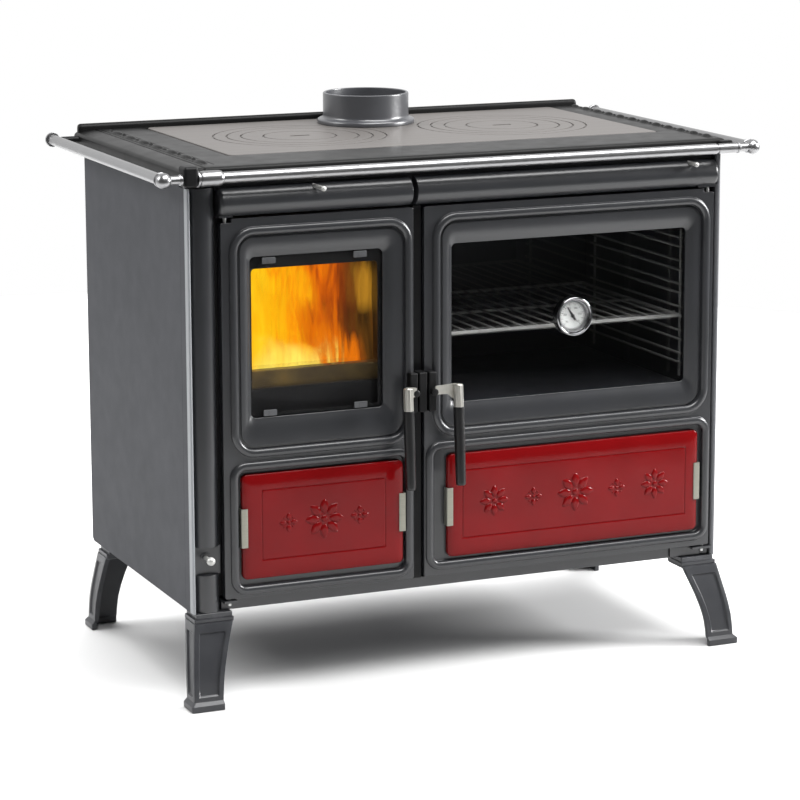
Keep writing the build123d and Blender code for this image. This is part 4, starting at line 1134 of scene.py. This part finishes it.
def hob_plate():
    m = M()
    x0, x1, y0, y1 = PX0 + 0.6, PX1 - 0.6, PY0 + 0.6, PY1 - 0.6
    def o(e, z, r=12.0):
        return [(a, b, z) for a, b in rpoly([(x0, y0, r), (x1, y0, r), (x1, y1, r), (x0, y1, r)], e, 8)]
    out = m.skin([o(0.4, 846.0), o(0.0, 846.5), o(0.0, 848.0), o(1.6, 850.0), o(1.6, 858.2), o(2.0, 859.3), o(3.0, 860.0), o(6.0, 860.0)])
    def circ(cx, cy, r, z, n=96):
        return [(cx + r * cos(2 * pi * i / n), cy + r * sin(2 * pi * i / n), z) for i in range(n)]
    flue = m.skin([circ(FX, FY, 68.5, 846.0), circ(FX, FY, 68.5, 859.3), circ(FX, FY, 69.4, 860.0)])
    tops = []
    for s in (-1, 1):
        cx = RC + s * RX
        rings = []
        for r in (147.0, 124.0, 100.0, 62.0):
            rings += [(r + 2.1, 860.0), (r + 1.4, 859.5), (r + 1.2, 857.6), (r - 1.2, 857.6), (r - 1.4, 859.5), (r - 2.1, 860.0)]
        ids = m.skin([circ(cx, RY, r, z) for r, z in rings])
        tops.append(ids[0])
        # lifting slot in the middle disc
        slot = []
        for k in range(24):
            a = 2 * pi * k / 24
            slot.append((cx + (14.0 if cos(a) > 0 else -14.0) + 4.2 * cos(a), RY + 4.2 * sin(a)))
        sid = m.skin([[(a, b, 860.0) for a, b in slot], [(a, b, 856.5) for a, b in slot]])
        m.face(sid[-1])
        m.fill([ids[-1], sid[0]])
    m.fill([out[-1]] + tops + [flue[-1]])
    m.fill([out[0], flue[0]])
    return make("hob_plate_ground", m, "hob", "stove", "hob_plate", angle=30.0)


hob_plate()
m = M()
prof = [(83.0, 860.0), (84.6, 860.6), (85.0, 862.0), (85.0, 865.5), (84.2, 867.6), (82.4, 868.7), (80.0, 869.0), (77.6, 869.5), (76.0, 870.8), (75.2, 873.0), (75.0, 876.0),
        (75.0, 911.6), (74.5, 913.2), (73.2, 914.0), (71.4, 914.0), (70.3, 913.3), (70.0, 912.0), (70.0, 863.0), (64.0, 862.6), (64.0, 846.6), (64.6, 846.0), (67.4, 846.0), (68.0, 846.6), (68.0, 860.0)]
lathe(m, [(r, h) for r, h in prof], (FX, FY, 0), "z", 120, "ring")
make("flue_collar_cast", m, "collar", "stove", "flue_collar", angle=40.0)

# -------------------------------------------------------------- towel rail
m = M()
lathe(m, [(8.2, -467.0), (9.0, -466.3), (9.0, 451.3), (8.2, 452.0)], (0, -22.0, 845.0), "x", 40)
make("towel_rail_front_tube", m, "chrome", "stove", "towel_rail_front")
for s, nm in ((-1, "left"), (1, "right")):
    m = M()
    lathe(m, [(8.2, -11.0), (9.0, -10.3), (9.0, 559.3), (8.2, 560.0)], (s * 521.0, 0, 845.0), "y", 40)
    make("towel_rail_" + nm + "_tube", m, "chrome", "stove", "towel_rail_" + nm)
m = M()
for s in (-1, 1):
    b = s * 521.0
    # end ball with its neck and collar
    prof = []
    for i in range(1, 18):
        a = pi * i / 18.0
        prof.append((12.5 * sin(a), -12.5 * cos(a)))
    prof = [(0.15, -12.5)] + [p for p in prof if not (p[1] > 0 and p[0] < 7.0)]
    prof += [(7.0, 10.4), (7.0, 24.8), (7.6, 25.2), (9.0, 26.5), (9.0, 29.6), (8.2, 30.0)]
    # axis along -s x, so that the ball is outermost
    lathe(m, prof, (b, -22.0, 845.0), (Vector((0, 1, 0)), Vector((0, 0, 1)), Vector((-s, 0, 0))), 40)
    lathe(m, [(9.1, -11.0), (11.2, -11.0), (12.0, -10.2), (12.0, -7.8), (11.2, -7.0), (9.1, -7.0)], (b, 0, 845.0), "y", 40, "ring")
    lathe(m, [(9.0, 559.6), (11.7, 560.0), (12.5, 560.8), (12.5, 563.2), (11.7, 564.0), (10.5, 564.6), (10.5, 569.8), (9.6, 571.4), (7.6, 572.0), (0.2, 572.0)], (b, 0, 845.0), "y", 40)
lathe(m, [(9.15, -467.0), (12.8, -467.0), (13.2, -466.5), (13.2, -464.4), (12.6, -463.9), (9.6, -463.7), (9.6, -461.6), (11.2, -461.2), (12.2, -459.5), (12.5, -456.0), (12.5, -434.0), (12.2, -429.5), (11.2, -426.2), (9.9, -424.6), (9.15, -424.2)], (0, -22.0, 845.0), "x", 40, "ring")
lathe(m, [(0.2, 452.0), (7.0, 452.0), (7.0, 455.6), (7.9, 455.7), (8.4, 456.4), (8.4, 490.6), (7.6, 491.2), (0.2, 491.2)], (0, -22.0, 845.0), "x", 40)
make("rail_fittings_chromed", m, "chrome", "stove", "rail_fittings", angle=36.0)
m = M()
for s in (-1, 1):
    if s < 0:
        block(m, -491.0, -467.0, -34.0, -3.0, 833.0, 866.0, 5.0, "y", 5.0, 5)
    else:
        block(m, 466.0, 488.0, -14.2, -3.0, 837.0, 857.0, 1.5, "y", 3.0, 3)
    a, b = sorted((s * 482.0, s * 512.0))
    lathe(m, [(5.0, a), (5.5, a + 0.5), (5.5, b - 0.5), (5.0, b)], (0, 540.0, 846.5), "x", 28)
make("rail_brackets_cast", m, "black", "stove", "rail_brackets")


# ------------------------------------------------------------------ controls
def knob_rod(name, x, z, y0, y1, yk, rk, extra, body, node, mat):
    m = M()
    prof = [(0.2, yk - rk)]
    for i in range(1, 12):
        a = pi * i / 12
        r, h = rk * sin(a), yk - rk * cos(a)
        if not (h > yk and r < 3.5):
            prof.append((r, h))
    prof += [(3.5, yk + sqrt(max(rk * rk - 12.25, 0.01))), (3.5, y1 - 0.4), (3.0, y1)]
    lathe(m, prof, (x, 0, z), "y", 32)
    for q in extra:
        block(m, *q, 0.5, "y", 0.8, 2)
    return make(name, m, mat, body, node)


knob_rod("secondary_air_control", -262.0, 821.0, -40, 72, -41.0, 4.3, [(-290, -234, 69, 72, 804, 835.2)], "secondary_air", "secondary_air_rod", "knob")
knob_rod("smoke_damper_control", 413.0, 821.0, -24, 98, -26.0, 4.3, [(409.5, 416.5, 94, 98, 785, 834.9)], "damper", "smoke_damper", "knob")
m = M()
block(m, 345, 455, 94, 158, 783.4, 786.4, 0.6, "z", 2.0, 2)
make("smoke_damper_plate", m, "inner", "damper")

# the flap of the primary air control keeps its drilled holes: its node stays
# ------------------------------------------------- what stays from the frame
KEEP = {
    "side_panel_left": ("casing", 0.8), "side_panel_right": ("casing", 0.8), "back_panel": ("casing", 0.6), "base_plate": ("casing", 0.6),
    # the centre post takes the near-black iron: painted shade, standing for the shade that falls in the deep gap
    # between the two doors
    "front_top_beam": ("cast", 0.8), "front_sill": ("cast", 1.4), "centre_post": ("black", 0.8), "hinge_brackets": ("cast", 0.5),
    "hinge_pins": ("zinc", 0.5), "leg_bolts": ("zinc", 0.6), "firebox_shell": ("inner", 0.0), "firebricks": ("brick", 2.0), "fire_grate": ("black", 0.8),
    "log_guard": ("black", 0.0), "ash_drawer": ("inner", 0.5), "oven_box": ("oven", 0.0), "oven_rack_guides": ("rod", 0.0), "oven_rack": ("rod", 0.0),
    "smoke_baffle": ("inner", 0.0), "fire_door_glass": ("glass", 0.0), "oven_door_glass": ("glass", 0.0), "thermometer_lens": ("glass", 0.0),
    "primary_air_rod": ("knob", 0.0),
}
for node, (mat, bev) in KEEP.items():
    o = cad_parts[node]
    if not o.data.materials:
        o.data.materials.append(MAT[mat])
    for i in range(len(o.data.materials)):
        o.data.materials[i] = MAT[mat]
    if bev > 0:
        w = o.modifiers.new("weld", "WELD")
        w.merge_threshold = 0.00002
        b = o.modifiers.new("edge", "BEVEL")
        b.width = bev / 1000.0
        b.segments = 3
        b.limit_method = "ANGLE"
        b.angle_limit = radians(40)
        b.harden_normals = False
        wn = o.modifiers.new("even_shading", "WEIGHTED_NORMAL")
        wn.keep_sharp = True

# ------------------------------------------------------------------- flames
MAT["flame_back"] = flame_mat("flame_back", -352, -124, 495, 700, 1.7, 1.12)
MAT["flame_mid"] = flame_mat("flame_mid", -356, -124, 480, 700, 4.2, 1.14, True)
MAT["flame_front"] = flame_mat("flame_front", -360, -124, 470, 720, 9.3, 1.18, True)


def flame_sheet(name, mat, x0, x1, yc, tops, zbase, depth, seed):
    """A closed, folded curtain of flame with a torn upper edge."""
    m = M()
    NXs = 84
    cols = []
    for i in range(NXs + 1):
        t = i / NXs
        x = lerp(x0, x1, t)
        f = t * (len(tops) - 1)
        k = min(int(f), len(tops) - 2)
        u = f - k
        u = u * u * (3 - 2 * u)
        top = lerp(tops[k], tops[k + 1], u) + 9.0 * noise.noise(Vector((x * 0.05, seed, 0.3)))
        cols.append((x, top))
    NZs = 22
    def pt(x, top, v, side):
        z = lerp(zbase, top, v)
        fold = depth * (noise.noise(Vector((x * 0.018 + seed, z * 0.006, seed))) + 0.5 * noise.noise(Vector((x * 0.05, z * 0.012, seed + 3.0))))
        lean = 10.0 * noise.noise(Vector((z * 0.012, x * 0.01, seed + 7.0))) * v
        th = 5.0 * (1 - v) + 0.6
        return (min(max(x + lean, -391.5), -124.5), yc + fold + side * th, z)
    grid, rise = [], []
    for side in (-1, 1):
        grid.append([[m.add([pt(x, top, j / NZs, side)])[0] for j in range(NZs + 1)] for x, top in cols])
        for i in range(len(cols)):
            side_fade = max(0.0, 1 - min(i, NXs - i) / 9.0)
            rise += [max(j / NZs, side_fade) for j in range(NZs + 1)]
    a, b = grid
    for g in grid:
        for i in range(NXs):
            for j in range(NZs):
                m.face((g[i][j], g[i + 1][j], g[i + 1][j + 1], g[i][j + 1]))
    for i in range(NXs):
        m.face((a[i][0], a[i + 1][0], b[i + 1][0], b[i][0]))
        m.face((a[i][NZs], a[i + 1][NZs], b[i + 1][NZs], b[i][NZs]))
    for j in range(NZs):
        m.face((a[0][j], a[0][j + 1], b[0][j + 1], b[0][j]))
        m.face((a[NXs][j], a[NXs][j + 1], b[NXs][j + 1], b[NXs][j]))
    return make(name, m, mat, "stove", angle=180.0, weighted=False, point_values=("rise", rise))


flame_sheet("flame_curtain_back", "flame_back", -391, -125, 92.0, [716] * 8, 408, 8.0, 1.3)
flame_sheet("flame_curtain_middle", "flame_mid", -391, -190, 74.0, [712, 700, 708, 690, 700, 660, 610, 540], 514, 6.0, 5.1)
flame_sheet("flame_curtain_front", "flame_front", -391, -210, 62.0, [620, 690, 640, 600, 570, 590, 560, 540], 514, 5.0, 8.7)

# ------------------------------------------------------------ stage and light
def stage():
    me = bpy.data.meshes.new("floor")
    me.from_pydata([(2.7 * cos(2 * pi * i / 96), 0.9 + 2.7 * sin(2 * pi * i / 96), -0.0005) for i in range(96)], [], [tuple(range(96))])
    fl = bpy.data.objects.new("floor", me)
    bpy.context.scene.collection.objects.link(fl)
    m = Mat("pale_floor")
    m.link(m.ramp(m.noise(2.0, 3.0), [(0.3, (0.62, 0.62, 0.62)), (0.7, (0.64, 0.64, 0.64))]), m.b.inputs["Base Color"])
    m.set(Roughness=0.8, Specular_IOR_Level=0.0)
    fl.data.materials.append(m.m)
    # a pale sweep behind the object, a dim room in front of it
    w = bpy.data.worlds.new("studio")
    bpy.context.scene.world = w
    w.use_nodes = True
    nt = w.node_tree
    bg = nt.nodes["Background"]
    tc = nt.nodes.new("ShaderNodeTexCoord")
    sx = nt.nodes.new("ShaderNodeSeparateXYZ")
    nt.links.new(tc.outputs["Generated"], sx.inputs[0])
    mr = nt.nodes.new("ShaderNodeMapRange")
    mr.interpolation_type = "SMOOTHSTEP"
    for k, v in (("From Min", -0.25), ("From Max", 0.55), ("To Min", 0.10), ("To Max", 0.95)):
        mr.inputs[k].default_value = v
    nt.links.new(sx.outputs["Y"], mr.inputs["Value"])
    lp = nt.nodes.new("ShaderNodeLightPath")
    mx = nt.nodes.new("ShaderNodeMix")
    mx.data_type = "FLOAT"
    nt.links.new(lp.outputs["Is Camera Ray"], mx.inputs[0])
    nt.links.new(mr.outputs["Result"], mx.inputs[2])
    mx.inputs[3].default_value = 1.0
    bg.inputs["Color"].default_value = (1.0, 1.0, 1.0, 1.0)
    nt.links.new(mx.outputs[0], bg.inputs["Strength"])

    def area(name, loc, target, size, power, color=(1, 1, 1), size_y=None):
        l = bpy.data.lights.new(name, "AREA")
        l.energy = power
        l.color = color
        l.shape = "RECTANGLE"
        l.size = size
        l.size_y = size_y or size
        o = bpy.data.objects.new(name, l)
        bpy.context.scene.collection.objects.link(o)
        d = Vector(target) - Vector(loc)
        o.location = loc
        o.rotation_mode = "QUATERNION"
        o.rotation_quaternion = d.to_track_quat("-Z", "Y")
        return o
    area("key", (3.6, -1.3, 1.8), (0.0, -0.2, 0.45), 1.3, 250.0)
    area("top", (0.5, -1.25, 3.3), (0.0, -0.1, 0.6), 3.2, 165.0, size_y=1.7)
    area("left", (-3.4, 0.8, 2.9), (-0.5, 0.1, 0.6), 1.6, 85.0)
    sweep = area("sweep", (0.0, 3.4, 5.2), (0.0, 2.0, 0.0), 5.6, 520.0)
    sweep.visible_glossy = False


stage()
bpy.context.scene.view_settings.view_transform = "Standard"
bpy.context.scene.view_settings.look = "None"
